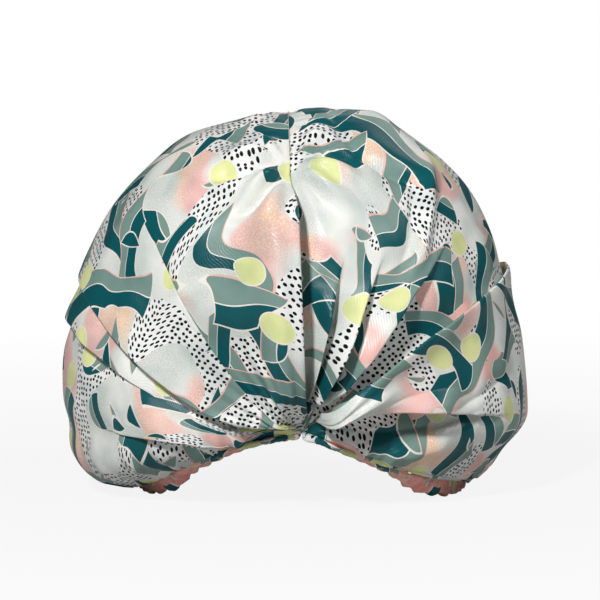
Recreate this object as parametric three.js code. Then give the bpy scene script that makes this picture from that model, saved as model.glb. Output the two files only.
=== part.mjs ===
// A pleated turban shower cap that stands on its elastic hem, with its front facing -Y.
// Two satin halves meet along a seam over the crown and are drawn together at a front knot.
import * as THREE from "three";

// Driving dimensions, in millimetres, or in degrees where the name says so.
// Reaches are measured from the knot axis, the level line from the front knot to the rear tack.
const SIDE_REACH_LEFT = 147;
const SIDE_REACH_RIGHT = 137;
const CROWN_REACH = 189;
const KNOT_REACH = 95;
const REAR_REACH = 97;
const HEM_REACH = 110;
const HEM_DEPTH = 39;
const HEM_SLOPE_LEFT_DEG = 4;
const HEM_SLOPE_RIGHT_DEG = 20;
const HEM_SLOPE_SIDE_DEG = 24;
const HEM_SLOPE_REAR_DEG = 14;
const HEM_TURN_DEG = 85;
const SEAM_LEAN_DEG = 2.6;
const TIP_DEG = 3.2;
const HEM_TIP_DEG = 5.5;
const REAR_DROP = 8;

// Sheets, bands and threads
const PANEL_WALL = 1;
const LINING_FILM = 0.8;
const TAPE_WIDTH = 12;
const TAPE_THICKNESS = 0.6;
const TAPE_MARGIN = 2;
const CASING_HEIGHT = 12;
const CASING_DEPTH = 6;
const CASING_DEPTH_KNOT = 3.8;
const CASING_WALL = 0.8;
const CASING_CORNER = 1.2;
const ELASTIC_WIDTH = 8;
const ELASTIC_THICKNESS = 1.2;
const THREAD_DIAMETER = 0.8;
const STITCH_DROP = 2.5;
const TACK_DIAMETER = 5;
const TACK_TURNS = 4;
const TACK_TURN_DEPTH = 0.4;

// Clearances and the flat that the hem stands on
const SEAT_GAP = 0.3;
const STITCH_GAP = 0.5;
const STAND_CUT = 0.5;

// Puff of the satin over the lining, and how far it takes to rise
const PUFF_FRONT = 7;
const PUFF_REAR = 2.5;
const PUFF_LEAST = 0.6;
const HEM_SOFT = 30;
const PIT_WIDTH = 24;
const DITCH_WIDTH = 13;
const PLEAT_RUN = 2;
const LINE_SPACE = 3;

// Curvature of the dome, as powers
const SECTION_POWER = 2.15;
const SWELL_POWER = 1.4;
const TUCK_POWER_LEFT = 2.2;
const TUCK_POWER_RIGHT = 0.85;
const SLOPE_POWER = 8;

// Counts
const ROWS = 19;
const FILL_COLUMNS = 2;
const HEM_ROWS = 36;
const HEM_GATHERS = 9;
const THREAD_SIDES = 5;
const TACK_SIDES = 12;
const TAPE_SKIP_FRONT = 2;
const TAPE_SKIP_REAR = 1;

// Shares of the room between lines that columns may take, and the crowding of rows at the knot
const LINE_SHARE = 0.7;
const PLEAT_SHARE = 0.3;
const ROW_POWER = 1.2;

const RAD = Math.PI / 180;
const NUDGE = 1e-3;
const smoothstep = THREE.MathUtils.smoothstep;
const lerp = THREE.MathUtils.lerp;

// Pleats, from the hem up to the seam. A pleat line runs from the knot: its angle above the level is
// far + swing * (1 - p) ** bend, where p goes from 0 at the knot to 1 at the side of the cap.
// top says which side of the line lies on the other: 1 the upper one, -1 the lower one.
const PLEATS_LEFT = [
  {
    far: 0, swing: -12, bend: 1, top: 1, height: 3,
    width: 20, hollow: 2, dip: 10, from: 0.1, to: 0.9, fade: 0.3,
  },
  {
    far: 22.5, swing: -30, bend: 1, top: 1, height: 2.5,
    width: 14, hollow: 2.5, dip: 14, from: 0.8, to: 1.35, fade: 0.4,
  },
  {
    far: 32, swing: -38, bend: 1, top: 1, height: 3.5,
    width: 18, hollow: 3, dip: 10, from: 0.1, to: 1.35, fade: 0.8,
  },
  {
    far: 55.5, swing: -23.5, bend: 1, top: -1, height: 3.5,
    width: 16, hollow: 4, dip: 16, from: 0.1, to: 0.98, fade: 0.5,
  },
];
const PLEATS_RIGHT = [
  {
    far: 3, swing: 32, bend: 2, top: 1, height: 3,
    width: 20, hollow: 3, dip: 10, from: 0.1, to: 0.95, fade: 0.3,
  },
  {
    far: 33, swing: 0, bend: 1, top: -1, height: 1.5,
    width: 14, hollow: 1, dip: 4, from: 0.15, to: 0.75, fade: 0.3,
  },
  {
    far: 36.5, swing: 27, bend: 2, top: -1, height: 4,
    width: 16, hollow: 4, dip: 14, from: 0.1, to: 1.35, fade: 0.8,
  },
  {
    far: 52.5, swing: 0, bend: 1, top: 1, height: 3.5,
    width: 9, hollow: 3, dip: 12, from: 0.1, to: 0.92, fade: 0.3,
  },
  {
    far: 67, swing: 4, bend: 1, top: 1, height: 3,
    width: 6, hollow: 3, dip: 8, from: 0.1, to: 0.72, fade: 0.3,
  },
];
const PLEAT_RISE = 0.25;

// Stretches along the cap, in the same measure as p, over which puff, pit and turned hem come and go
const PUFF_RISE = 0.4;
const PUFF_TURN = 0.9;
const PUFF_SETTLE = 1.4;
const HEM_TURN_LEFT = [0.7, 1];
const HEM_TURN_RIGHT = [0.58, 0.95];
const PIT_END = 0.78;
const PIT_FADE = 0.14;

const RIGHT = {
  name: "right",
  sign: 1,
  reach: SIDE_REACH_RIGHT,
  tuckPower: TUCK_POWER_RIGHT,
  hemSlope: HEM_SLOPE_RIGHT_DEG,
  hemTurn: HEM_TURN_RIGHT,
  pleats: PLEATS_RIGHT,
  seam: (90 + SEAM_LEAN_DEG) * RAD,
};
const LEFT = {
  name: "left",
  sign: -1,
  reach: SIDE_REACH_LEFT,
  tuckPower: TUCK_POWER_LEFT,
  hemSlope: HEM_SLOPE_LEFT_DEG,
  hemTurn: HEM_TURN_LEFT,
  pleats: PLEATS_LEFT,
  seam: (90 - SEAM_LEAN_DEG) * RAD,
};

const satin = (color) => new THREE.MeshStandardMaterial({ color, roughness: 0.45, metalness: 0 });
const film = () => new THREE.MeshStandardMaterial({ color: 0xeeece6, roughness: 0.35, metalness: 0 });
const knit = () => new THREE.MeshStandardMaterial({ color: 0xf4f2ec, roughness: 0.8, metalness: 0 });
const thread = () => new THREE.MeshStandardMaterial({ color: 0xd9d4c4, roughness: 0.7, metalness: 0 });

// The dome is written in two angles: beta turns from the knot (0) over the cap to the rear tack (pi),
// and alpha is the height above the level at each side.

// How far a point has gone from the knot: 0 there, 1 at the side, 2 at the rear tack.
function progress(beta) {
  return beta < Math.PI / 2 ? Math.sin(beta) : 2 - Math.sin(beta);
}

function poleReach(beta) {
  return beta < Math.PI / 2 ? KNOT_REACH : REAR_REACH;
}

function swell(beta, sideReach) {
  return lerp(poleReach(beta), sideReach, Math.sin(beta) ** SWELL_POWER);
}

// The rear half sinks towards its tack, which sits lower than the knot.
function rearDrop(beta) {
  return REAR_DROP * smoothstep(progress(beta), 1, 2);
}

// The hem falls from the knot at a slope that grows, runs level along the sides and rises to the rear.
function hemAngle(side, beta) {
  const p = progress(beta);
  const degrees = p < 1
    ? lerp(side.hemSlope, HEM_SLOPE_SIDE_DEG, p)
    : lerp(HEM_SLOPE_SIDE_DEG, HEM_SLOPE_REAR_DEG, p - 1);
  const slope = Math.sin(degrees * RAD);
  const level = (HEM_DEPTH - rearDrop(beta)) / (swell(beta, HEM_REACH) * Math.sin(beta));
  return -Math.asin((slope ** -SLOPE_POWER + level ** -SLOPE_POWER) ** (-1 / SLOPE_POWER));
}

function sectionReach(side, alpha, beta) {
  if (alpha < 0) {
    const share = Math.min(alpha / hemAngle(side, beta), 1);
    return lerp(side.reach, HEM_REACH, smoothstep(share ** side.tuckPower, 0, 1));
  }
  const across = Math.abs(Math.cos(alpha)) / side.reach;
  const up = Math.sin(alpha) / CROWN_REACH;
  return (across ** SECTION_POWER + up ** SECTION_POWER) ** (-1 / SECTION_POWER);
}

// Radius of the turn about the knot axis, so that an angle times it is a length.
function turnRadius(side, alpha, beta) {
  return swell(beta, sectionReach(side, alpha, beta)) * Math.sin(beta);
}

function domePoint(side, alpha, beta) {
  const radius = turnRadius(side, alpha, beta);
  const along = radius / Math.tan(beta);
  const height = radius * Math.sin(alpha) - rearDrop(beta);
  return new THREE.Vector3(side.sign * radius * Math.cos(alpha), -along, height);
}

function domeNormal(side, alpha, beta) {
  const ahead = domePoint(side, alpha, beta + NUDGE).sub(domePoint(side, alpha, beta - NUDGE));
  const upward = domePoint(side, alpha + NUDGE, beta).sub(domePoint(side, alpha - NUDGE, beta));
  return ahead.cross(upward).normalize().multiplyScalar(side.sign);
}

function raised(side, alpha, beta, offset) {
  return domePoint(side, alpha, beta).addScaledVector(domeNormal(side, alpha, beta), offset);
}

// Angles of the hem, of each pleat line and of the seam, kept in order with room between them.
function panelLines(side, beta) {
  const p = Math.min(progress(beta), 1);
  const hem = hemAngle(side, beta);
  const seam = side.seam - SEAT_GAP / turnRadius(side, side.seam, beta);
  const lines = [hem];
  side.pleats.forEach((pleat) => lines.push((pleat.far + pleat.swing * (1 - p) ** pleat.bend) * RAD));
  lines.push(seam);
  const radius = turnRadius(side, 0, beta);
  const space = Math.min(LINE_SPACE / radius, (LINE_SHARE * (seam - hem)) / lines.length);
  for (let i = 1; i < lines.length; i++) lines[i] = Math.max(lines[i], lines[i - 1] + space);
  lines[lines.length - 1] = seam;
  for (let i = lines.length - 2; i > 0; i--) lines[i] = Math.min(lines[i], lines[i + 1] - space);
  return { lines, space };
}

// Two columns at each pleat, one on either side of its line, two at the strip that the seam tape covers,
// and even columns between them.
function panelColumns(side, beta) {
  const { lines, space } = panelLines(side, beta);
  const columns = [lines[0]];
  for (let i = 1; i < lines.length; i++) {
    const last = i === lines.length - 1;
    const radius = turnRadius(side, lines[i], beta);
    const start = columns[columns.length - 1];
    const strip = Math.min((TAPE_WIDTH / 2 + TAPE_MARGIN) / radius, LINE_SHARE * (lines[i] - start));
    const half = last ? strip : Math.min(PLEAT_RUN / 2 / radius, PLEAT_SHARE * space);
    const stop = lines[i] - half;
    for (let k = 1; k <= FILL_COLUMNS; k++) columns.push(lerp(start, stop, k / (FILL_COLUMNS + 1)));
    columns.push(stop, last ? lines[i] : lines[i] + half);
  }
  return { columns, lines };
}

function pleatLift(pleat, line, alpha, radius, p) {
  const strength =
    smoothstep(p, pleat.from - PLEAT_RISE / 2, pleat.from + PLEAT_RISE / 2) *
    (1 - smoothstep(p, pleat.to - pleat.fade, pleat.to));
  const distance = (alpha - line) * radius * pleat.top;
  const shape = distance > 0
    ? pleat.height * Math.exp(-((distance / pleat.width) ** 2))
    : -pleat.hollow * Math.exp(-((distance / pleat.dip) ** 2));
  return strength * shape;
}

// How far the satin stands off the dome. Beside the knot the right half sinks into a pit under the
// edge of the left half, and over the crown both halves dip into the seam.
function satinLift(side, lines, alpha, beta) {
  const p = progress(beta);
  const radius = turnRadius(side, alpha, beta);
  const knotFade = smoothstep(p, 0, PUFF_RISE) * smoothstep(2 - p, 0, PUFF_RISE);
  const puff = lerp(PUFF_FRONT, PUFF_REAR, smoothstep(p, PUFF_TURN, PUFF_SETTLE)) * knotFade;
  const folds = side.pleats.reduce(
    (sum, pleat, i) => sum + pleatLift(pleat, lines[i + 1], alpha, radius, p),
    0,
  );
  const crown = smoothstep(p, PIT_END, PIT_END + PIT_FADE);
  const fromSeam = (side.seam - alpha) * radius;
  const ditch = 1 - Math.exp(-((fromSeam / lerp(PIT_WIDTH, DITCH_WIDTH, crown)) ** 2));
  const seamFade = side === LEFT ? lerp(1, ditch, crown) : ditch;
  const hemFade = smoothstep((alpha - lines[0]) * radius, 0, HEM_SOFT);
  return Math.max(PUFF_LEAST, (puff + folds) * seamFade * hemFade);
}

// Rows are closer together near the knot, where the pleats meet.
function rowAngles() {
  const first = TIP_DEG * RAD;
  const share = (i) => (i / (ROWS - 1)) ** ROW_POWER;
  return Array.from({ length: ROWS }, (_, i) => lerp(first, Math.PI - first, share(i)));
}

// A closed geometry from triangles, turned to face out.
function closedGeometry(triangles) {
  let volume = 0;
  triangles.forEach(([a, b, c]) => (volume += a.dot(b.clone().cross(c))));
  const points = triangles.flatMap(([a, b, c]) => (volume < 0 ? [a, c, b] : [a, b, c]));
  return new THREE.BufferGeometry().setFromPoints(points);
}

function quad(triangles, a, b, c, d) {
  triangles.push([a, b, c], [a, c, d]);
}

// A sheet between two grids of points with like rows and columns.
function sheetGeometry(outer, inner) {
  const triangles = [];
  const rows = outer.length - 1;
  const columns = outer[0].length - 1;
  for (let i = 0; i < rows; i++) {
    for (let j = 0; j < columns; j++) {
      quad(triangles, outer[i][j], outer[i + 1][j], outer[i + 1][j + 1], outer[i][j + 1]);
      quad(triangles, inner[i][j], inner[i][j + 1], inner[i + 1][j + 1], inner[i + 1][j]);
    }
    quad(triangles, outer[i][0], inner[i][0], inner[i + 1][0], outer[i + 1][0]);
    quad(triangles, outer[i][columns], outer[i + 1][columns], inner[i + 1][columns], inner[i][columns]);
  }
  for (let j = 0; j < columns; j++) {
    quad(triangles, outer[0][j], outer[0][j + 1], inner[0][j + 1], inner[0][j]);
    quad(triangles, outer[rows][j], inner[rows][j], inner[rows][j + 1], outer[rows][j + 1]);
  }
  return closedGeometry(triangles);
}

// A rod through a row of rings, with its ends closed.
function rodGeometry(rings) {
  const triangles = [];
  const count = rings[0].length;
  for (let i = 0; i + 1 < rings.length; i++) {
    for (let j = 0; j < count; j++) {
      const k = (j + 1) % count;
      quad(triangles, rings[i][j], rings[i][k], rings[i + 1][k], rings[i + 1][j]);
    }
  }
  const last = rings.length - 1;
  for (let j = 1; j + 1 < count; j++) {
    triangles.push([rings[0][0], rings[0][j + 1], rings[0][j]]);
    triangles.push([rings[last][0], rings[last][j], rings[last][j + 1]]);
  }
  return closedGeometry(triangles);
}

// A tunnel between two rows of rings, open at both ends.
function tunnelGeometry(outer, inner) {
  const triangles = [];
  const count = outer[0].length;
  const last = outer.length - 1;
  for (let j = 0; j < count; j++) {
    const k = (j + 1) % count;
    for (let i = 0; i < last; i++) {
      quad(triangles, outer[i][j], outer[i][k], outer[i + 1][k], outer[i + 1][j]);
      quad(triangles, inner[i][j], inner[i + 1][j], inner[i + 1][k], inner[i][k]);
    }
    quad(triangles, outer[0][j], inner[0][j], inner[0][k], outer[0][k]);
    quad(triangles, outer[last][j], outer[last][k], inner[last][k], inner[last][j]);
  }
  return closedGeometry(triangles);
}

const cap = new THREE.Group();

function addPiece(name, geometry, material) {
  const mesh = new THREE.Mesh(geometry, material);
  mesh.name = name;
  cap.add(mesh);
  return mesh;
}

// Satin half: pleated outside, smooth inside.
function outerPanel(side) {
  const outer = [];
  const inner = [];
  rowAngles().forEach((beta) => {
    const { columns, lines } = panelColumns(side, beta);
    outer.push(columns.map((a) => raised(side, a, beta, satinLift(side, lines, a, beta))));
    inner.push(columns.map((a) => raised(side, a, beta, -PANEL_WALL)));
  });
  return sheetGeometry(outer, inner);
}

// Waterproof film that follows the inside of the satin half.
function liningPanel(side) {
  const face = -(PANEL_WALL + SEAT_GAP);
  const grid = (offset) =>
    rowAngles().map((beta) =>
      panelColumns(side, beta).columns.map((a) => raised(side, a, beta, offset)),
    );
  return sheetGeometry(grid(face), grid(face - LINING_FILM));
}

// Sealing tape over the seam of the lining, on the inside of the cap.
function seamTape() {
  const face = -(PANEL_WALL + SEAT_GAP + LINING_FILM + SEAT_GAP);
  const rows = rowAngles().slice(TAPE_SKIP_FRONT, -TAPE_SKIP_REAR);
  const across = (beta, offset) => {
    const angle = (side, mm) => side.seam - mm / turnRadius(side, side.seam, beta);
    const point = (side, mm) => raised(side, angle(side, mm), beta, offset);
    return [point(LEFT, TAPE_WIDTH / 2), point(LEFT, 0), point(RIGHT, TAPE_WIDTH / 2)];
  };
  const grid = (offset) => rows.map((beta) => across(beta, offset));
  return sheetGeometry(grid(face), grid(face - TAPE_THICKNESS));
}

// Ring of a thread about a point, square to the way it runs.
function threadRing(centre, outward, along) {
  const other = new THREE.Vector3().crossVectors(along, outward).normalize();
  return Array.from({ length: THREAD_SIDES }, (_, i) => {
    const turn = (2 * Math.PI * i) / THREAD_SIDES;
    return centre
      .clone()
      .addScaledVector(outward, (Math.cos(turn) * THREAD_DIAMETER) / 2)
      .addScaledVector(other, (Math.sin(turn) * THREAD_DIAMETER) / 2);
  });
}

// Thread that lies in the seam, from the crown to the rear.
function seamStitch() {
  const lift = PUFF_LEAST + SEAT_GAP + THREAD_DIAMETER / 2;
  const rows = rowAngles().filter((beta) => progress(beta) > PIT_END + PIT_FADE);
  const rings = rows.slice(0, -1).map((beta) => {
    const outward = domeNormal(RIGHT, RIGHT.seam, beta);
    const along = domePoint(RIGHT, RIGHT.seam, beta + NUDGE).sub(domePoint(RIGHT, RIGHT.seam, beta));
    return threadRing(raised(RIGHT, RIGHT.seam, beta, lift), outward, along);
  });
  return rodGeometry(rings);
}

// Place and directions of the casing: along the hem, down and outward. Beside the knot it is turned in
// under the edge.
function hemFrame(side, row) {
  const first = HEM_TIP_DEG * RAD;
  const beta = lerp(first, Math.PI - first, row / HEM_ROWS);
  const edgeAt = (b) => domePoint(side, hemAngle(side, b), b);
  const edge = edgeAt(beta);
  const along = edgeAt(beta + NUDGE).sub(edgeAt(beta - NUDGE)).normalize();
  const square = (v) => v.addScaledVector(along, -v.dot(along)).normalize();
  const onward = square(edge.clone().sub(domePoint(side, hemAngle(side, beta) + NUDGE, beta)));
  const hang = square(new THREE.Vector3(0, 0, -1));
  const level = new THREE.Vector3().crossVectors(along, hang).multiplyScalar(-side.sign);
  const free = smoothstep(progress(beta), ...side.hemTurn);
  const turn = HEM_TURN_DEG * RAD * (1 - free);
  const depth = lerp(CASING_DEPTH_KNOT, CASING_DEPTH, free);
  const turned = (a, b) => a.clone().multiplyScalar(Math.cos(turn)).addScaledVector(b, Math.sin(turn));
  const down = turned(hang, level.clone().negate());
  const outward = turned(level, hang);
  const extent = (Math.abs(onward.dot(down)) * CASING_HEIGHT + Math.abs(onward.dot(outward)) * depth) / 2;
  const centre = edge.clone().addScaledVector(onward, SEAT_GAP + extent);
  const room = depth / 2 - CASING_WALL - ELASTIC_THICKNESS / 2 - SEAT_GAP;
  const gather = room * Math.sin((2 * Math.PI * HEM_GATHERS * row) / HEM_ROWS);
  const place = (out, drop) => centre.clone().addScaledVector(outward, out).addScaledVector(down, drop);
  return { place, gather, depth, along, outward };
}

const hemRows = Array.from({ length: HEM_ROWS + 1 }, (_, i) => i);

// Ring of a box with cut corners, wall millimetres inside the casing's faces.
function casingRing(frame, wall) {
  const out = frame.depth / 2 - wall;
  const drop = CASING_HEIGHT / 2 - wall;
  const cut = CASING_CORNER;
  const corners = [
    [out, drop - cut], [out - cut, drop], [cut - out, drop], [-out, drop - cut],
    [-out, cut - drop], [cut - out, -drop], [out - cut, -drop], [out, cut - drop],
  ];
  return corners.map(([x, y]) => frame.place(x + frame.gather, y));
}

// Gathered strip round the elastic, cut flat where it stands.
function hemCasing(side, floor) {
  const frames = hemRows.map((row) => hemFrame(side, row));
  const outer = frames.map((frame) => casingRing(frame, 0));
  const inner = frames.map((frame) => casingRing(frame, CASING_WALL));
  outer.flat().forEach((point) => (point.z = Math.max(point.z, floor)));
  return tunnelGeometry(outer, inner);
}

function hemElastic(side) {
  const thick = ELASTIC_THICKNESS / 2;
  const wide = ELASTIC_WIDTH / 2;
  const rings = hemRows.map((row) => {
    const corners = [[thick, wide], [-thick, wide], [-thick, -wide], [thick, -wide]];
    const frame = hemFrame(side, row);
    return corners.map(([x, y]) => frame.place(x, y));
  });
  return rodGeometry(rings);
}

function hemStitch(side) {
  const rings = hemRows.map((row) => {
    const frame = hemFrame(side, row);
    const lift = frame.depth / 2 + STITCH_GAP + THREAD_DIAMETER / 2;
    const centre = frame.place(lift + frame.gather, STITCH_DROP - CASING_HEIGHT / 2);
    return threadRing(centre, frame.outward, frame.along);
  });
  return rodGeometry(rings);
}

// Wrapped thread between the tips of the two halves, lying across the cap.
function tackGeometry(beta) {
  const half = Math.min(turnRadius(LEFT, 0, beta), turnRadius(RIGHT, 0, beta)) - 2 * SEAT_GAP;
  const profile = [new THREE.Vector2(0, -half)];
  const steps = 2 * TACK_TURNS;
  for (let i = 0; i <= steps; i++) {
    const groove = i % 2 ? 0 : TACK_TURN_DEPTH;
    profile.push(new THREE.Vector2(TACK_DIAMETER / 2 - groove, lerp(-half, half, i / steps)));
  }
  profile.push(new THREE.Vector2(0, half));
  return new THREE.LatheGeometry(profile, TACK_SIDES).rotateZ(Math.PI / 2);
}

function addTack(name, beta, reach, drop) {
  const tack = addPiece(name, tackGeometry(beta), thread());
  tack.position.set(0, reach, -drop);
}

function lowestCasing() {
  const lows = [LEFT, RIGHT].flatMap((side) =>
    hemRows.flatMap((row) => casingRing(hemFrame(side, row), 0).map((point) => point.z)),
  );
  return Math.min(...lows);
}

const floor = lowestCasing() + STAND_CUT;
[LEFT, RIGHT].forEach((side) => {
  addPiece("outer_panel_" + side.name, outerPanel(side), satin(side === LEFT ? 0xa9c4bc : 0x7fa9a3));
  addPiece("lining_" + side.name, liningPanel(side), film());
  addPiece("hem_casing_" + side.name, hemCasing(side, floor), satin(0xf0c2b8));
  addPiece("elastic_" + side.name, hemElastic(side), knit());
  addPiece("hem_stitch_" + side.name, hemStitch(side), thread());
});
addPiece("lining_seam_tape", seamTape(), film());
addPiece("centre_seam_stitch", seamStitch(), thread());
addTack("front_knot_tack", TIP_DEG * RAD, -KNOT_REACH, 0);
addTack("rear_tack", Math.PI - TIP_DEG * RAD, REAR_REACH, REAR_DROP);

// The origin is the middle of the box, on the flat that the hem stands on.
const box = new THREE.Box3().setFromObject(cap);
const middle = box.getCenter(new THREE.Vector3());
cap.position.set(-middle.x, -middle.y, -floor);

const showerCap = new THREE.Group();
showerCap.add(cap);

export default showerCap;
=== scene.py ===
"""Looks of a turban shower cap: pleated printed satin, film lining and a gathered elastic hem."""

import math
from typing import NamedTuple

import bmesh
import bpy
import numpy as np
from bpy.props import FloatProperty, FloatVectorProperty, IntProperty, PointerProperty
from bpy.types import Operator, Panel, PropertyGroup
from mathutils import Matrix, Vector


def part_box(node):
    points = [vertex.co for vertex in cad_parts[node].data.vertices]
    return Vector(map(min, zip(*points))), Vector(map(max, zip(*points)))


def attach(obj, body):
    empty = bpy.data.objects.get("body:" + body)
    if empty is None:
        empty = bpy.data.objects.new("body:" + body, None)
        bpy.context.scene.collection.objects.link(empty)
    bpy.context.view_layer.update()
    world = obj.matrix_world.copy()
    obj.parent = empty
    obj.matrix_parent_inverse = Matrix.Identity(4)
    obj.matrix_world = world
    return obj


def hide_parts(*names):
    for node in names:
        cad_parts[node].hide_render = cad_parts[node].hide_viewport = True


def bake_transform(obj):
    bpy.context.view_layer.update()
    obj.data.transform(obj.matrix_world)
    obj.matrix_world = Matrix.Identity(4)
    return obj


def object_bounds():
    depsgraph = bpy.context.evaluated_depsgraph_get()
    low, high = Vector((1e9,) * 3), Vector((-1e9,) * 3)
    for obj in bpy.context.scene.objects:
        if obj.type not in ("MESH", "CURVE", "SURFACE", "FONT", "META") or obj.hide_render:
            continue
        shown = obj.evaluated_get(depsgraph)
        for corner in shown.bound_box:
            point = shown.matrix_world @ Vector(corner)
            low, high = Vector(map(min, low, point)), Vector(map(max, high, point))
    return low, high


bl_info = {
    "name": "Turban shower cap",
    "version": (1, 0, 0),
    "blender": (4, 5, 0),
    "location": "View3D > Sidebar > Shower cap",
    "description": "Builds a pleated satin shower cap with its lining and elastic hem",
    "category": "Object",
}

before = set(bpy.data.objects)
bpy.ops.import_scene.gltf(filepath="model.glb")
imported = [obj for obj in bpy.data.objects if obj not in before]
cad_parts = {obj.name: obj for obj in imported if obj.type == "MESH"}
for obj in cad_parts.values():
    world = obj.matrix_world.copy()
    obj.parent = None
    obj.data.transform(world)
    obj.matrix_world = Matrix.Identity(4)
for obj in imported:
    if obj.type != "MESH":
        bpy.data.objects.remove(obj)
CAD_BOX = [list(corner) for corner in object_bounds()]
KNOT_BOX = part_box("front_knot_tack")
REAR_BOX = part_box("rear_tack")
CENTRE = (Vector(CAD_BOX[0]) + Vector(CAD_BOX[1])) / 2
KNOT = (KNOT_BOX[0] + KNOT_BOX[1]) / 2
REAR = (REAR_BOX[0] + REAR_BOX[1]) / 2

MM = 0.001
NUDGE = 1e-3
MERGE_DISTANCE = 1e-6
QUARTER_TURN = math.pi / 2
PICTURE_POINTS = 600
SENSOR = 36
FAR_CLIP = 50
WHITE = (1, 1, 1, 1)


def linear(red, green, blue):
    """A colour in display values from 0 to 255, as the linear values that shaders take, by the sRGB curve."""

    def channel(value):
        share = value / 255
        return share / 12.92 if share <= 0.04045 else ((share + 0.055) / 1.055) ** 2.4

    return (channel(red), channel(green), channel(blue))


def length(name, description, default):
    """A property for a length in metres."""
    return FloatProperty(name=name, description=description, default=default, unit="LENGTH", precision=4)


def angle(name, description, degrees):
    """A property for an angle, with its default in degrees."""
    return FloatProperty(
        name=name, description=description, default=math.radians(degrees), subtype="ANGLE"
    )


def colour(name, description, red, green, blue):
    """A property for a colour, with its default from 0 to 255."""
    return FloatVectorProperty(
        name=name,
        description=description,
        default=linear(red, green, blue),
        subtype="COLOR",
        min=0,
        max=1,
    )


def pixels(name, description, default):
    """A property for a place in the picture."""
    return FloatProperty(name=name, description=description, default=default, subtype="PIXEL")


def watts(name, description, default):
    """A property for the power of a lamp."""
    return FloatProperty(name=name, description=description, default=default, unit="POWER")


class CapDome(PropertyGroup):
    """Form of the dome that the cloth lies on, measured from the line between knot and rear tack."""

    side_reach_left: length("Left reach", "How far the left side puffs out", 0.147)
    side_reach_right: length("Right reach", "How far the right side puffs out", 0.137)
    crown_reach: length("Crown reach", "How high the crown stands", 0.189)
    knot_reach: length("Knot reach", "From the widest section to the knot", 0.095)
    hem_reach: length("Hem reach", "Half the width of the hem", 0.110)
    hem_depth: length("Hem depth", "How far the hem hangs below the knot", 0.039)
    hem_slope_left: angle("Left hem slope", "Fall of the hem left of the knot", 4)
    hem_slope_right: angle("Right hem slope", "Fall of the hem right of the knot", 20)
    hem_slope_side: angle("Side hem slope", "Steepest fall of the hem", 24)
    hem_slope_rear: angle("Rear hem slope", "Fall of the hem beside the rear tack", 14)
    seam_lean: angle("Seam lean", "Tilt of the centre seam to the left", 2.6)
    tip: angle("Tip", "Where the cloth ends at the knot and the rear tack", 3.2)


class SatinFolds(PropertyGroup):
    """Puff, pleats and gathers of the satin."""

    thickness: length("Thickness", "Thickness of the satin", 0.00035)
    puff_front: length("Front puff", "Height of the satin over the film in front", 0.007)
    puff_rear: length("Rear puff", "Height of the satin over the film behind", 0.0025)
    puff_least: length("Least puff", "Height of the satin along seam and hem", 0.0006)
    pit_width: length("Pit width", "Width of the hollow beside the knot", 0.013)
    ditch_width: length("Ditch width", "Width of the dip along the crown seam", 0.010)
    tuck: length("Tuck", "Cloth hidden under a pleat's edge", 0.007)
    edge_roll: length("Edge roll", "Roundness of a pleat's edge", 0.0009)
    overlap: length("Overlap", "How far the left half lies over the right one", 0.004)
    overhang: length("Overhang", "How far the satin hangs over the casing", 0.001)
    rows: IntProperty(name="Rows", description="Rows of faces from knot to rear", default=192)


class HemSizes(PropertyGroup):
    """Casing, elastic and stitches along the lower edge."""

    tip: angle("Hem tip", "Where the casing ends beside the knot", 5.5)
    turn: angle("Hem turn", "How far the casing is turned in beside the knot", 85)
    casing_height: length("Casing height", "Height of the casing", 0.012)
    casing_depth: length("Casing depth", "Depth of the casing", 0.006)
    casing_depth_knot: length("Casing depth at the knot", "Depth of the casing at the knot", 0.0038)
    seat_gap: length("Seat gap", "Space between the satin's edge and the casing", 0.0003)
    gather: length("Gather", "Height of the casing's gathers", 0.0018)
    gather_pitch: length("Gather pitch", "Space between the casing's gathers", 0.0095)
    elastic_width: length("Elastic width", "Width of the elastic", 0.008)
    elastic_thickness: length("Elastic thickness", "Thickness of the elastic", 0.0012)
    thread: length("Thread", "Thickness of the sewing thread", 0.0007)
    stitch: length("Stitch", "Length of a stitch", 0.003)
    stitch_gap: length("Stitch gap", "Space between two stitches", 0.0012)
    stitch_drop: length("Stitch drop", "From the casing's upper edge to its stitches", 0.0025)


class LiningSizes(PropertyGroup):
    """Waterproof film and the tape over its seam."""

    face: length("Film face", "How far the film's outer face lies under the dome", 0.0013)
    film: length("Film", "Thickness of the film", 0.0004)
    tape_face: length("Tape face", "How far the tape's outer face lies under the dome", 0.0024)
    tape_width: length("Tape width", "Width of the tape", 0.012)
    tape_thickness: length("Tape thickness", "Thickness of the tape", 0.0006)
    crinkle: length("Crinkle", "Height of the film's crinkles", 0.00015)


class CapColours(PropertyGroup):
    """Colours of the print and of the plain pieces."""

    teal: colour("Teal", "Dark ribbons of the print", 11, 86, 92)
    sage: colour("Sage", "Grey-green ribbons of the print", 124, 152, 144)
    ground: colour("Ground", "Pale ground of the print", 233, 234, 228)
    grey: colour("Grey", "Greyer patches of the ground", 210, 216, 209)
    pink: colour("Pink", "Pink patches", 240, 190, 182)
    peach: colour("Peach", "Peach patches", 243, 203, 170)
    hem: colour("Hem", "Pink of the hem strip", 246, 160, 150)
    lime: colour("Lime", "Pale yellow-green discs", 228, 232, 166)
    cream: colour("Cream", "Thin outlines", 243, 234, 226)
    white: colour("White", "White dotted patches", 240, 240, 238)
    ink: colour("Ink", "Small black dots", 2, 3, 4)
    film: colour("Film", "Waterproof lining", 236, 234, 228)
    tape: colour("Tape", "Seam tape", 225, 223, 216)
    elastic: colour("Elastic", "Elastic band", 240, 238, 230)
    thread: colour("Thread", "Sewing thread", 214, 206, 192)


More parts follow.
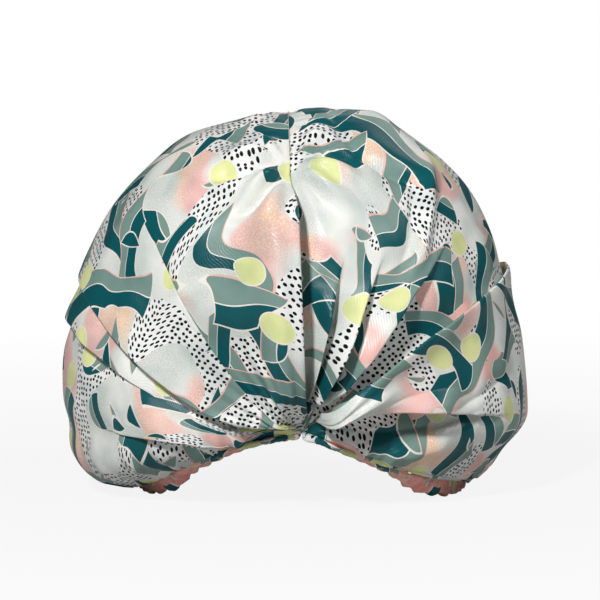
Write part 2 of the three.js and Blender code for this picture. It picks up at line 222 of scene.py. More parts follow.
class StudioSettings(PropertyGroup):
    """Camera, floor and lamps."""

    lens: FloatProperty(name="Lens", description="Focal length", default=200, unit="CAMERA")
    elevation: angle("Elevation", "Height of the camera above the level", 6)
    picture_scale: length("Picture scale", "Size of one picture point at the cap", 0.000637)
    knot_right: pixels("Knot right", "Knot in the picture, from left", 302)
    knot_down: pixels("Knot down", "Knot in the picture, from above", 430)
    floor_size: length("Floor size", "Width of the floor", 8.0)
    key: watts("Key", "Power of the main lamp", 49)
    fill: watts("Fill", "Power of the fill lamp", 12)
    back: watts("Back", "Power of the lamp behind the cap", 4)
    sky: FloatProperty(name="Sky", description="Strength of the light from all round", default=0.05)


class Pleat(NamedTuple):
    """A pleat line from the knot, in degrees and millimetres.

    Its angle is far + swing * (1 - p) ** bend, where p is 0 at the knot, 1 at the side and 2 at the rear.
    top is 1 where the cloth above the line lies on the cloth below it, and -1 the other way. height and
    width are the flap's, and hollow and dip are the depth and width of the valley beside it. The pleat
    rises about start, and fades out over the stretch fade up to end, all three in the measure of p.
    """

    far: float
    swing: float
    bend: float
    top: int
    height: float
    width: float
    hollow: float
    dip: float
    start: float
    end: float
    fade: float


PLEATS_LEFT = (
    Pleat(0, -12, 1, 1, 4, 20, 2.5, 10, 0.1, 0.9, 0.3),
    Pleat(22.5, -30, 1, 1, 3, 14, 2.5, 14, 0.8, 1.35, 0.4),
    Pleat(32, -38, 1, 1, 5, 18, 3.5, 10, 0.1, 1.35, 0.8),
    Pleat(55.5, -23.5, 1, -1, 5, 16, 4, 16, 0.1, 0.98, 0.5),
)
PLEATS_RIGHT = (
    Pleat(1, 42, 1.6, 1, 12, 16, 6, 12, 0.1, 0.95, 0.35),
    Pleat(36.5, 27, 2, -1, 8, 11, 5, 12, 0.1, 1.35, 0.8),
    Pleat(52.5, 0, 1, 1, 8, 8, 4, 10, 0.1, 0.92, 0.3),
    Pleat(66, 0, 1, 1, 12, 7, 6, 8, 0.1, 0.78, 0.35),
    Pleat(77, 0, 1, 1, 11, 6, 6, 6, 0.12, 0.74, 0.35),
)
PLEAT_RISE = 0.25
LINE_SPACE = 3 * MM
LINE_SHARE = 0.7


class Crease(NamedTuple):
    """A soft crease of the front, from start to end, in millimetres right of and above the knot.

    bow is how far its middle stands to the left of the straight line, and depth is below 0 in a valley.
    """

    start: tuple
    end: tuple
    bow: float
    depth: float
    width: float


CREASES_LEFT = (
    Crease((-97, 92), (-87, 70), 0, -1.2, 6),
    Crease((-116, 71), (-97, 63), 2, -1.0, 6),
    Crease((-52, 149), (-8, 165), -3, -10.5, 2.6),
    Crease((-44, 158), (-12, 170), -2, 4.0, 6),
    Crease((-48, 143), (-6, 160), -3, 5.5, 5),
    Crease((-38, 128), (-6, 158), -3, -9.0, 2.6),
    Crease((-30, 118), (-7, 148), -3, 3.0, 6),
    Crease((-36, 176), (-8, 169), 2, -4.0, 3),
    Crease((-26, 186), (-8, 180), 1, -4.0, 2.5),
    Crease((-24, 198), (-9, 193), 0, -4.0, 2.5),
    Crease((-30, 170), (-44, 205), 0, -5.5, 28),
    Crease((-165, -11), (-110, -8), 0, -5.0, 12),
)
CREASES_RIGHT = (
    Crease((20, 182), (66, 145), -4, -10.0, 3.5),
    Crease((36, 173), (78, 147), -4, 3.5, 8),
    Crease((72, 156), (65, 98), 4, 4.5, 4),
    Crease((64, 148), (57, 98), 4, -3.5, 4),
    Crease((-5, 192), (24, 190), 0, -4.0, 2.5),
    Crease((-5, 183), (27, 179), 0, -4.0, 2.5),
    Crease((-5, 174), (22, 170), 0, -3.5, 2.5),
    Crease((135, 101), (141, 52), -6, -3.0, 4),
    Crease((10, 88), (20, 58), 0, 3.0, 4),
    Crease((16, 4), (80, 3), -4, -5.5, 3),
    Crease((12, -4), (88, -5), -5, 6.5, 6),
    Crease((40, -8), (104, 10), -3, -3.5, 3),
    Crease((86, 12), (128, 34), -3, -3.0, 3.5),
    Crease((30, 14), (86, 26), 3, -2.0, 4),
    Crease((-6, 164), (34, 158), 3, -10.0, 2.6),
    Crease((-4, 154), (30, 146), 3, 4.0, 7),
    Crease((44, 180), (54, 205), 0, 4.5, 12),
    Crease((4, 184), (6, 205), 0, -2.0, 8),
)

# Creases: below this width in millimetres a valley is sharp, and shares of its run where it fades
CRISP_WIDTH = 6
CREASE_START = (-0.15, 0.2)
CREASE_END = (0.8, 1.15)

# Stretches along the cap, in the measure of p
CREASE_REAR = (1.05, 1.35)
FLAP_START = (0.05, 0.3)
RIPPLE_START = (0.03, 0.14)
RIPPLE_END = (0.25, 0.62)
WAVE_START = (0.2, 0.5)
PUFF_RISE = 0.4
PUFF_TURN = 0.9
PUFF_SETTLE = 1.4
PIT_END = 0.78
PIT_FADE = 0.14
HEM_TURN_LEFT = (0.7, 1.0)
HEM_TURN_RIGHT = (0.58, 0.95)

# Powers of the dome's curves
SECTION_POWER = 2.15
SWELL_POWER = 1.4
SLOPE_POWER = 8
TUCK_POWER_LEFT = 2.2
TUCK_POWER_RIGHT = 0.85
ROW_FRONT = 0.7
ROW_POWER = 4

# Puff beside the left half's front edge, and how softly all puff ends at the hem
FLAP_HEIGHT = 16 * MM
FLAP_CREST = 8 * MM
FLAP_WIDTH = 15 * MM
HEM_SOFT = 14 * MM

# Cloth heaped up right of the knot, along the cap and between two pairs of angles
HEAP_HEIGHT = 9 * MM
HEAP_START = (0.1, 0.26)
HEAP_END = (0.42, 0.75)
HEAP_LOW = (math.radians(14), math.radians(30))
HEAP_HIGH = (math.radians(62), math.radians(76))

# Gathers along the hem, and how their pitch wanders
GATHER_PITCH = 11 * MM
GATHER_HEIGHT = 1.2 * MM
GATHER_FADE = 16 * MM
GATHER_DRIFT = 1.1
GATHER_BEAT = 4.3

# Puckers round the crown's gather point, and the ruching behind it
PUCKER_TURN = math.radians(64)
PUCKER_COUNT = 11
PUCKER_PHASE = 0.6
PUCKER_HEIGHT = 3.4 * MM
PUCKER_REACH = 55 * MM
PUCKER_PEAK = PUCKER_REACH / 3
RUCHE_PITCH = 12 * MM
RUCHE_HEIGHT = 1.9 * MM
RUCHE_WIDTH = 24 * MM

# Ripples round the knot by count and twist, and slow waves by pitch and direction
RIPPLES = ((23, 2), (37, -3))
RIPPLE_HEIGHT = 1.7 * MM
WAVE_HEIGHT = 1.6 * MM
WAVES = ((61 * MM, 0.4), (43 * MM, 1.9), (34 * MM, 1.2), (52 * MM, 2.7))

# Path of a pleat: from the lower layer in under the flap, back to the edge and on along the flap.
# A step's distance towards the flap is given in shares of the run, the tuck and the roll, and its
# height in shares of the step from the lower layer to the flap, and of the roll.
FOLD_PATH = (
    ((-1, 0, 0), (0, 0)),
    ((-0.3, 0, 0), (0, 0)),
    ((0, 0.35, 0), (0, 0)),
    ((0, 0.75, 0), (0.03, 0)),
    ((0, 0.95, 0), (0.1, 0)),
    ((0, 1, 0), (0.2, 0)),
    ((0, 0.9, 0), (0.3, 0)),
    ((0, 0.5, 0), (0.42, 0)),
    ((0, 0, 1.2), (1, -2.1)),
    ((0, 0, 0.25), (1, -1.75)),
    ((0, 0, 0), (1, -1)),
    ((0, 0, 0.25), (1, -0.3)),
    ((0, 0, 1), (1, 0)),
    ((1, 0, 0), (1, 0)),
)
FOLD_UNDER = 5
FOLD_RUN = 2 * MM
FOLD_SHARE = 0.3
FOLD_OPEN = 0.35
ROLL_SHARE = 0.22
TUCK_SHARE = 0.4

# Path of the left half's turned edge, past the seam and back under itself. A step's distance past the
# seam is in shares of the run and the overlap, and its height in shares of the cloth's and of the roll.
EDGE_PATH = (
    ((-1, 0), (1, 0)),
    ((0, 0.2), (1, 0)),
    ((0, 0.72), (1, -0.2)),
    ((0, 0.95), (1, -0.6)),
    ((0, 1), (1, -1.2)),
    ((0, 0.93), (1, -1.8)),
    ((0, 0.6), (0.6, -1.5)),
    ((-0.3, 0), (0.4, -0.6)),
    ((-1.4, 0), (0.2, 0)),
    ((-2.2, 0), (0.15, 0)),
)
EDGE_RUN = 2.5 * MM
EDGE_ROLL = 1.5 * MM
EDGE_SHARE = 0.25

# Path of the lower edge, from the casing's seam down over the casing, up again and round the edge of the
# body, which bags over it: distance above the hem in shares of the run and the overhang, and height as a
# share of the blouse's.
BLOUSE_PATH = (
    ((0.2, 0), 0.1),
    ((0, 0), 0.13),
    ((0, -0.6), 0.3),
    ((0, -0.95), 0.48),
    ((0, -1), 0.58),
    ((0, -0.7), 0.66),
    ((0.1, 0), 0.64),
    ((0.5, 0), 0.5),
    ((0.65, 0), 0.54),
    ((0.6, 0), 0.66),
    ((0.34, 0), 0.72),
    ((0.26, 0), 0.86),
    ((0.36, 0), 0.97),
    ((0.6, 0), 1),
)
BLOUSE_RUN = 12 * MM
BLOUSE_HEIGHT = 5.5 * MM
BLOUSE_SIDE = 5 * MM
BLOUSE_SPREAD = 0.04
CORNER_HEIGHT = 5 * MM
CORNER_PLACE = 13 * MM
CORNER_WIDTH = 10 * MM
CORNER_SPREAD = 0.12

# Cloth drawn over the tack at the knot
KNOT_COVER = 3 * MM
KNOT_OVERHANG = 2.5 * MM
KNOT_OPEN = (0.4, 0.65)
KNOT_DROP = 6 * MM
KNOT_WRAP = 1.15
KNOT_EDGE = (0.06, 0.2)
KNOT_TIP = math.radians(0.6)
KNOT_ROWS = 6

# Columns of the satin, and the layout of the flat cloth
RUN_COLUMNS = 140
MIDDLE_TURN = math.radians(45)
CLOTH_APART = 0.6
FLAT_STEPS = 180
FLAT_MARGIN = 0.3
GATHERED = 1.3
LEAST_COLUMNS = 6


def mix(first, second, share):
    """The value at a share of the way from first to second."""
    return first + (second - first) * share


def smooth(value, low, high):
    """0 below low, 1 above high, and an even rise between."""
    share = np.clip((value - low) / (high - low), 0, 1)
    return share * share * (3 - 2 * share)


def bell(distance, width):
    """1 at no distance, and a soft fall to 0 over a few widths."""
    return np.exp(-((distance / width) ** 2))


def unit(vectors):
    """The same directions, with length 1."""
    return vectors / np.linalg.norm(vectors, axis=-1, keepdims=True)


def uneven_wave(distance, pitch):
    """A wave between -1 and 1 whose pitch wanders, as hand-drawn gathers do."""
    turn = 2 * math.pi * distance / pitch
    return np.sin(turn + GATHER_DRIFT * np.sin(turn / GATHER_BEAT))


class CapSide:
    """One half of the cap: the dome under its cloth, and the folds of the satin on it.

    beta turns from the knot over the cap to the rear tack, and alpha is the angle above the level.
    """

    def __init__(self, name):
        scene = bpy.context.scene
        self.name = name
        self.right = name == "right"
        self.sign = 1 if self.right else -1
        self.dome = scene.cap_dome
        self.folds = scene.cap_folds
        self.reach = self.dome.side_reach_right if self.right else self.dome.side_reach_left
        self.hem_slope = self.dome.hem_slope_right if self.right else self.dome.hem_slope_left
        self.hem_turn = HEM_TURN_RIGHT if self.right else HEM_TURN_LEFT
        self.tuck_power = TUCK_POWER_RIGHT if self.right else TUCK_POWER_LEFT
        self.pleats = PLEATS_RIGHT if self.right else PLEATS_LEFT
        self.creases = CREASES_RIGHT if self.right else CREASES_LEFT
        self.seam = QUARTER_TURN + self.sign * self.dome.seam_lean
        self.cloth_start = CLOTH_APART if self.right else 0
        self.middle = KNOT.y + self.dome.knot_reach
        self.rear_reach = REAR.y - self.middle
        self.rear_sink = KNOT.z - REAR.z

    def progress(self, beta):
        """0 at the knot, 1 at the side and 2 at the rear tack."""
        return np.where(beta < QUARTER_TURN, np.sin(beta), 2 - np.sin(beta))

    def swell(self, beta, side_reach):
        """Distance from the dome's middle: side_reach at the side, and the poles' own at both ends."""
        pole = np.where(beta < QUARTER_TURN, self.dome.knot_reach, self.rear_reach)
        return mix(pole, side_reach, np.sin(beta) ** SWELL_POWER)

    def rear_drop(self, beta):
        """How far the dome has sunk behind its side, down to the rear tack."""
        return self.rear_sink * smooth(self.progress(beta), 1, 2)

    def hem_angle(self, beta):
        """Angle of the lower edge, which falls with its slope until it hangs level."""
        share = self.progress(beta)
        front = mix(self.hem_slope, self.dome.hem_slope_side, np.minimum(share, 1))
        rear = mix(self.dome.hem_slope_side, self.dome.hem_slope_rear, np.maximum(share - 1, 0))
        slope = np.sin(np.where(share < 1, front, rear))
        across = self.swell(beta, self.dome.hem_reach) * np.sin(beta)
        level = (self.dome.hem_depth - self.rear_drop(beta)) / across
        return -np.arcsin((slope**-SLOPE_POWER + level**-SLOPE_POWER) ** (-1 / SLOPE_POWER))

    def section_reach(self, alpha, beta):
        """Reach of the dome at an angle: a round arch above the level, drawn in to the hem below it."""
        share = np.clip(alpha / self.hem_angle(beta), 0, 1)
        low = mix(self.reach, self.dome.hem_reach, smooth(share**self.tuck_power, 0, 1))
        across = np.abs(np.cos(alpha)) / self.reach
        up = np.maximum(np.sin(alpha), 0) / self.dome.crown_reach
        high = (across**SECTION_POWER + up**SECTION_POWER) ** (-1 / SECTION_POWER)
        return np.where(alpha < 0, low, high)

    def turn_radius(self, alpha, beta):
        """Radius of the dome round the line between knot and rear tack."""
        return self.swell(beta, self.section_reach(alpha, beta)) * np.sin(beta)

    def point(self, alpha, beta):
        """Place on the dome."""
        radius = self.turn_radius(alpha, beta)
        x = KNOT.x + self.sign * radius * np.cos(alpha)
        y = self.middle - radius / np.tan(beta)
        z = KNOT.z + radius * np.sin(alpha) - self.rear_drop(beta)
        return np.stack(np.broadcast_arrays(x, y, z), axis=-1)

    def normal(self, alpha, beta):
        """Direction out of the dome, square to it."""
        ahead = self.point(alpha, beta + NUDGE) - self.point(alpha, beta - NUDGE)
        upward = self.point(alpha + NUDGE, beta) - self.point(alpha - NUDGE, beta)
        return unit(np.cross(ahead, upward) * self.sign)

    def raised(self, alpha, beta, lift):
        """Place at a height over the dome."""
        lift = np.broadcast_to(lift, np.broadcast(alpha, beta).shape)
        return self.point(alpha, beta) + self.normal(alpha, beta) * lift[..., None]

    def from_hem(self, alpha, beta):
        """Distance above the hem, round the dome."""
        return (alpha - self.hem_angle(beta)) * self.turn_radius(alpha, beta)

    def from_seam(self, alpha, beta):
        """Distance from the seam, round the dome."""
        return (self.seam - alpha) * self.turn_radius(alpha, beta)

    def pleat_lines(self, beta):
        """Angles of the hem, of each pleat and of the seam, in order, and the least room between them."""
        share = np.minimum(self.progress(beta), 1)
        hem = self.hem_angle(beta)
        seam = np.full_like(beta, self.seam)
        lines = [hem]
        for pleat in self.pleats:
            lines.append(np.radians(pleat.far + pleat.swing * (1 - share) ** pleat.bend))
        lines.append(seam)
        radius = self.turn_radius(np.zeros_like(beta), beta)
        space = np.minimum(LINE_SPACE / radius, LINE_SHARE * (seam - hem) / len(lines))
        for i in range(1, len(lines)):
            lines[i] = np.maximum(lines[i], lines[i - 1] + space)
        lines[-1] = seam
        for i in range(len(lines) - 2, 0, -1):
            lines[i] = np.minimum(lines[i], lines[i + 1] - space)
        return lines, space

    def pleat_strength(self, pleat, beta):
        """How much of its full height a pleat has."""
        share = self.progress(beta)
        rise = smooth(share, pleat.start - PLEAT_RISE / 2, pleat.start + PLEAT_RISE / 2)
        return rise * (1 - smooth(share, pleat.end - pleat.fade, pleat.end))

    def pleat_lift(self, pleat, line, alpha, beta):
        """Height that one pleat gives the cloth on both sides of its line."""
        away = (alpha - line) * self.turn_radius(alpha, beta) * pleat.top
        above = pleat.height * bell(away, pleat.width * MM)
        below = -pleat.hollow * bell(away, pleat.dip * MM)
        return self.pleat_strength(pleat, beta) * np.where(away > 0, above, below) * MM

    def crown_share(self, beta):
        """0 beside the pit in front, and 1 from the crown seam on."""
        return smooth(self.progress(beta), PIT_END, PIT_END + PIT_FADE)

    def fades(self, alpha, beta):
        """How much of the puff is left beside the seam, the pit and the hem."""
        crown = self.crown_share(beta)
        width = mix(self.folds.pit_width, self.folds.ditch_width, crown)
        ditch = 1 - bell(self.from_seam(alpha, beta), width)
        beside_seam = ditch if self.right else mix(1, ditch, crown)
        return beside_seam * smooth(self.from_hem(alpha, beta), -HEM_SOFT, HEM_SOFT)

    def puff(self, beta):
        """Plain puff of the satin, before its folds."""
        share = self.progress(beta)
        knot_fade = smooth(share, 0, PUFF_RISE) * smooth(2 - share, 0, PUFF_RISE)
        turn = smooth(share, PUFF_TURN, PUFF_SETTLE)
        return mix(self.folds.puff_front, self.folds.puff_rear, turn) * knot_fade

    def lift(self, alpha, beta, lines, own=None, own_lift=0):
        """Height of the satin over the dome. own is the pleat whose lift is given instead."""
        total = self.puff(beta) + own_lift + self.wrinkles(alpha, beta) + self.seam_flap(alpha, beta)
        total = total + self.corner(alpha, beta) + self.heap(alpha, beta)
        for i, pleat in enumerate(self.pleats):
            if i != own:
                total = total + self.pleat_lift(pleat, lines[i + 1], alpha, beta)
        return np.maximum(total * self.fades(alpha, beta), self.least_lift(beta))

    def least_lift(self, beta):
        """Least height of the satin, which clears the tack at the knot."""
        return self.folds.puff_least + KNOT_COVER * (1 - smooth(self.progress(beta), *KNOT_EDGE))

    def seam_flap(self, alpha, beta):
        """Extra height of the left half beside its front edge."""
        if self.right:
            return 0
        front = (1 - self.crown_share(beta)) * smooth(self.progress(beta), *FLAP_START)
        return FLAP_HEIGHT * front * bell(self.from_seam(alpha, beta) - FLAP_CREST, FLAP_WIDTH)

    def heap(self, alpha, beta):
        """Cloth heaped up beside the pit right of the knot."""
        if not self.right:
            return 0
        share = self.progress(beta)
        along = smooth(share, *HEAP_START) * (1 - smooth(share, *HEAP_END))
        return HEAP_HEIGHT * along * smooth(alpha, *HEAP_LOW) * (1 - smooth(alpha, *HEAP_HIGH))

    def corner(self, alpha, beta):
        """Bag of the cloth over the hem at the side."""
        above = bell(self.from_hem(alpha, beta) - CORNER_PLACE, CORNER_WIDTH)
        return CORNER_HEIGHT * above * bell(self.progress(beta) - 1, CORNER_SPREAD)

    def wrinkles(self, alpha, beta):
        """All small folds together."""
        return (
            self.hem_gathers(alpha, beta)
            + self.crown_puckers(alpha, beta)
            + self.knot_ripples(alpha, beta)
            + self.soft_creases(alpha, beta)
            + self.soft_waves(alpha, beta)
        )

    def hem_gathers(self, alpha, beta):
        """Gathers along the hem, which fade upwards."""
        along = beta * self.swell(beta, self.dome.hem_reach)
        fade = np.exp(-np.maximum(self.from_hem(alpha, beta), 0) / GATHER_FADE)
        return GATHER_HEIGHT * uneven_wave(along, GATHER_PITCH) * fade

    def crown_puckers(self, alpha, beta):
        """Folds that fan out from the gather point of the crown seam, and the ruching behind it."""
        away = self.from_seam(alpha, beta)
        along = (beta - PUCKER_TURN) * self.swell(beta, self.dome.crown_reach)
        reach = np.hypot(away, along)
        fan = np.cos(PUCKER_COUNT * np.arctan2(along, np.maximum(away, MM)) + PUCKER_PHASE)
        fan = fan * smooth(reach, 0, PUCKER_PEAK) * (1 - smooth(reach, PUCKER_PEAK, PUCKER_REACH))
        ruche = uneven_wave(along, RUCHE_PITCH) * bell(away, RUCHE_WIDTH) * self.crown_share(beta)
        return PUCKER_HEIGHT * fan + RUCHE_HEIGHT * ruche

    def knot_ripples(self, alpha, beta):
        """Waves round the knot, which twist a little on their way out."""
        share = self.progress(beta)
        window = smooth(share, *RIPPLE_START) * (1 - smooth(share, *RIPPLE_END))
        wave = sum(np.cos(count * alpha + twist * share) for count, twist in RIPPLES)
        return RIPPLE_HEIGHT * window * wave / len(RIPPLES)

    def soft_waves(self, alpha, beta):
        """Slow unevenness of the puffed cloth."""
        across = self.from_seam(alpha, beta)
        along = beta * self.swell(beta, self.reach)
        total = 0
        for pitch, turn in WAVES:
            ahead = across * math.cos(turn) + along * math.sin(turn) * self.sign
            total = total + np.sin(2 * math.pi * ahead / pitch + turn)
        return WAVE_HEIGHT * total / len(WAVES) * smooth(self.progress(beta), *WAVE_START)

    def soft_creases(self, alpha, beta):
        """Creases of the front, laid out as they are seen from there."""
        place = self.point(alpha, beta)
        across = (place[..., 0] - KNOT.x) / MM
        up = (place[..., 2] - KNOT.z) / MM
        total = np.zeros_like(across)
        for crease in self.creases:
            run = (crease.end[0] - crease.start[0], crease.end[1] - crease.start[1])
            span = math.hypot(*run)
            step = (across - crease.start[0], up - crease.start[1])
            ahead = (step[0] * run[0] + step[1] * run[1]) / span**2
            bow = crease.bow * 4 * ahead * (1 - ahead)
            off = (step[1] * run[0] - step[0] * run[1]) / span - bow
            window = smooth(ahead, *CREASE_START) * (1 - smooth(ahead, *CREASE_END))
            crisp = crease.depth < 0 and crease.width < CRISP_WIDTH
            profile = np.exp(-np.abs(off) / crease.width) if crisp else bell(off, crease.width)
            total = total + crease.depth * MM * profile * window
        return total * (1 - smooth(self.progress(beta), *CREASE_REAR))

    def strip(self, line, width, most, beta):
        """Width of the strip beside a line that a fold's path takes up, within its share of the room."""
        return np.minimum(most, FOLD_SHARE * width * self.turn_radius(line, beta))

    def fold_columns(self, index, beta, lines, space):
        """Angles and own lift of the columns that turn round one pleat's edge."""
        pleat = self.pleats[index]
        line = lines[index + 1]
        radius = self.turn_radius(line, beta)
        strength = self.pleat_strength(pleat, beta)
        room = np.abs(lines[index + 1 + pleat.top] - line) * radius
        run = self.strip(line, space, FOLD_RUN, beta)
        tuck = np.minimum(self.folds.tuck, TUCK_SHARE * room)
        floor = -pleat.hollow * MM * strength
        step = (pleat.height + pleat.hollow) * MM * strength
        roll = np.minimum(self.folds.edge_roll, ROLL_SHARE * step)
        opened = smooth(strength, 0, FOLD_OPEN)
        angles, lifts = [], []
        for i, (away, height) in enumerate(FOLD_PATH):
            share = i / (len(FOLD_PATH) - 1)
            folded = away[0] * run + away[1] * tuck + away[2] * roll
            distance = mix(run * (2 * share - 1), folded, opened)
            angles.append(line + pleat.top * distance / radius)
            lifts.append(floor + mix(share * step, height[0] * step + height[1] * roll, opened))
        if pleat.top < 0:
            angles.reverse()
            lifts.reverse()
        return np.hstack(angles), np.hstack(lifts)

    def edge_columns(self, beta, lines, run):
        """Angles and lift of the left half's front edge, which is turned under over the right half."""
        line = lines[-1]
        radius = self.turn_radius(line, beta)
        front = 1 - self.crown_share(beta)
        overlap = np.minimum(self.folds.overlap, EDGE_SHARE * radius)
        full = self.lift(line - run / radius, beta, lines)
        roll = np.minimum(EDGE_ROLL, EDGE_SHARE * full)
        angles, lifts = [], []
        for i, (away, height) in enumerate(EDGE_PATH):
            flat = run * (i / (len(EDGE_PATH) - 1) - 1)
            turned = away[0] * run + away[1] * overlap
            angles.append(line + mix(flat, turned, front) / radius)
            plain = self.lift(line + flat / radius, beta, lines)
            lifts.append(mix(plain, full * height[0] + roll * height[1], front))
        return np.hstack(angles), np.hstack(lifts)

    def blouse_columns(self, beta, lines, run):
        """Angles and lift of the lower edge, which bags over the casing."""
        hem = lines[0]
        share = self.progress(beta)
        radius = self.turn_radius(hem, beta)
        past_knot = smooth(share, *KNOT_EDGE)
        ends = past_knot * smooth(2 - share, *KNOT_EDGE)
        drop = self.folds.overhang + KNOT_OVERHANG * (1 - smooth(share, *KNOT_OPEN))
        drop = (drop + BLOUSE_SIDE * bell(share - 1, BLOUSE_SPREAD)) * ends
        wrap = np.minimum(KNOT_DROP, KNOT_WRAP * radius) * (1 - past_knot)
        drop = np.maximum(drop, wrap)
        height = np.maximum(BLOUSE_HEIGHT * ends, self.lift(hem + run / radius, beta, lines))
        angles = [hem + (away[0] * run + away[1] * drop) / radius for away, _ in BLOUSE_PATH]
        lifts = [np.maximum(height * rise, self.least_lift(beta)) for _, rise in BLOUSE_PATH]
        return np.hstack(angles), np.hstack(lifts)

    def run_counts(self):
        """Columns of each run between two lines, shared out by width at the widest section."""
        lines, _ = self.pleat_lines(np.array([[QUARTER_TURN]]))
        widths = np.diff([float(line[0, 0]) for line in lines])
        return [max(LEAST_COLUMNS, round(RUN_COLUMNS * width / widths.sum())) for width in widths]

    def satin_columns(self, beta):
        """Angle, lift and place on the flat cloth, for every row and column of a satin half."""
        lines, space = self.pleat_lines(beta)
        counts = self.run_counts()
        last = len(counts) - 1
        blouse_run = self.strip(lines[0], lines[1] - lines[0], BLOUSE_RUN, beta)
        edge_run = self.strip(lines[-1], lines[-1] - lines[-2], EDGE_RUN, beta)
        angles, lifts, owners = [], [], []

        def add(alpha, lift, owner):
            angles.append(alpha)
            lifts.append(lift)
            owners.extend(owner)

        alpha, lift = self.blouse_columns(beta, lines, blouse_run)
        add(alpha, lift, [0] * alpha.shape[1])
        for k, count in enumerate(counts):
            low_run = self.strip(lines[k], space, FOLD_RUN, beta) if k else blouse_run
            high_run = self.strip(lines[k + 1], space, FOLD_RUN, beta)
            if k == last:
                high_run = 0 * high_run if self.right else edge_run
            low = lines[k] + low_run / self.turn_radius(lines[k], beta)
            high = lines[k + 1] - high_run / self.turn_radius(lines[k + 1], beta)
            first = 1 if k else 0
            stop = count + 1 if k == last and self.right else count
            share = np.arange(first, stop) / count
            alpha = low + (high - low) * share[None, :]
            add(alpha, self.lift(alpha, beta, lines), [k] * alpha.shape[1])
            if k < last:
                alpha, own = self.fold_columns(k, beta, lines, space)
                under = FOLD_UNDER if self.pleats[k].top > 0 else len(FOLD_PATH) - FOLD_UNDER
                owner = [k] * under + [k + 1] * (len(FOLD_PATH) - under)
                add(alpha, self.lift(alpha, beta, lines, k, own), owner)
        if not self.right:
            alpha, lift = self.edge_columns(beta, lines, edge_run)
            add(alpha, lift, [last] * alpha.shape[1])
        alpha = np.hstack(angles)
        return alpha, np.hstack(lifts), self.flat_place(alpha, beta, lines, np.array(owners))

    def unrolled(self, beta):
        """Flat distances across and along the cloth from the hem up each row, as functions of the angle.

        Each step up a row is split into its part square to the rows' direction of travel and its part along
        it, so that the print keeps its right angles where the rows run askew.
        """
        share = np.linspace(0, 1, FLAT_STEPS)[None, :]
        low, high = self.hem_angle(beta) - FLAT_MARGIN, self.seam + FLAT_MARGIN
        alpha = mix(low, high, share)
        ahead = unit(self.point(alpha, beta + NUDGE) - self.point(alpha, beta - NUDGE))
        step = np.diff(self.point(alpha, beta), axis=1)
        forward = (ahead[:, 1:] + ahead[:, :-1]) / 2
        along = np.sum(step * forward, axis=-1)
        across = np.linalg.norm(step - forward * along[..., None], axis=-1)
        start = np.zeros_like(beta)
        across = np.hstack([start, np.cumsum(across, axis=1)])
        along = np.hstack([start, np.cumsum(along, axis=1)])

        def read(table, wanted):
            return np.stack([np.interp(*row) for row in zip(wanted, alpha, table)])

        return lambda wanted: read(across, wanted), lambda wanted: read(along, wanted)

    def flat_place(self, alpha, beta, lines, owners):
        """Place of each point on the flat cloth.

        A flap is measured from its own folded edge, and the rest of its cloth is hidden in the fold at its
        other side. Where that fold has opened, the whole cloth shows.
        """
        across, along = self.unrolled(beta)
        heights = [across(line) for line in lines]
        anchors, starts, scales = [], [], []
        opened = [smooth(self.pleat_strength(pleat, beta), 0, FOLD_OPEN) for pleat in self.pleats]
        place = np.zeros_like(beta)
        for k in range(len(lines) - 1):
            width = heights[k + 1] - heights[k]
            widest = np.max(width)
            below = k > 0 and self.pleats[k - 1].top > 0
            above = k < len(self.pleats) and self.pleats[k].top < 0
            if above and not below:
                folded = opened[k - 1] if k else np.ones_like(beta)
                anchors.append(heights[k + 1])
                starts.append(place + widest)
            else:
                folded = opened[k] if k < len(self.pleats) else np.ones_like(beta)
                anchors.append(heights[k])
                starts.append(place)
            scales.append(mix(widest / width, 1, folded * (beta < QUARTER_TURN)))
            place = place + widest
            if k < len(self.pleats):
                place = place + 2 * self.folds.tuck * opened[k]
        anchor, begin, scale = (np.hstack(part)[:, owners] for part in (anchors, starts, scales))
        middle = np.full_like(beta, MIDDLE_TURN)
        return flat_map(
            self.cloth_start + begin + (across(alpha) - anchor) * scale,
            self.flat_along(beta) + along(alpha) - along(middle),
        )

    def flat_along(self, beta):
        """Place of each row along the flat cloth, from the widest section."""
        path = self.point(np.full_like(beta, MIDDLE_TURN), beta)[:, 0]
        return (arc_lengths(path) - np.interp(QUARTER_TURN, beta[:, 0], arc_lengths(path)))[:, None]

    def hem_frame(self, beta):
        """Middle, downward and outward directions and depth of the casing at each row."""
        hem = bpy.context.scene.cap_hem

        def edge_at(turn):
            return self.point(self.hem_angle(turn), turn)

        def square(vectors):
            return unit(vectors - along * np.sum(vectors * along, axis=-1, keepdims=True))

        edge = edge_at(beta)
        along = unit(edge_at(beta + NUDGE) - edge_at(beta - NUDGE))
        onward = square(edge - self.point(self.hem_angle(beta) + NUDGE, beta))
        hang = square(np.broadcast_to((0.0, 0.0, -1.0), along.shape))
        level = np.cross(along, hang) * -self.sign
        free = smooth(self.progress(beta), *self.hem_turn)[:, None]
        turn = hem.turn * (1 - free)
        depth = mix(hem.casing_depth_knot, hem.casing_depth, free)
        down = hang * np.cos(turn) - level * np.sin(turn)
        outward = level * np.cos(turn) + hang * np.sin(turn)
        drop = np.abs(np.sum(onward * down, axis=-1, keepdims=True)) * hem.casing_height
        drop = drop + np.abs(np.sum(onward * outward, axis=-1, keepdims=True)) * depth
        return edge + onward * (hem.seat_gap + drop / 2), down, outward, depth


def flat_map(across, along):
    """Distances across and along the flat cloth, as one map."""
    return np.stack(np.broadcast_arrays(across, along), axis=-1)


def arc_lengths(points):
    """Distance of each point of a path from its start."""
    steps = np.linalg.norm(np.diff(points, axis=0), axis=-1)
    return np.concatenate([[0], np.cumsum(steps)])


def row_angles(first, count, front=ROW_FRONT):
    """Turns from the knot to the rear, closer together in front unless front is 1."""
    share = np.arange(count + 1) / count
    share = mix(share**ROW_POWER, share, front)
    return mix(first, math.pi - first, share)[:, None]


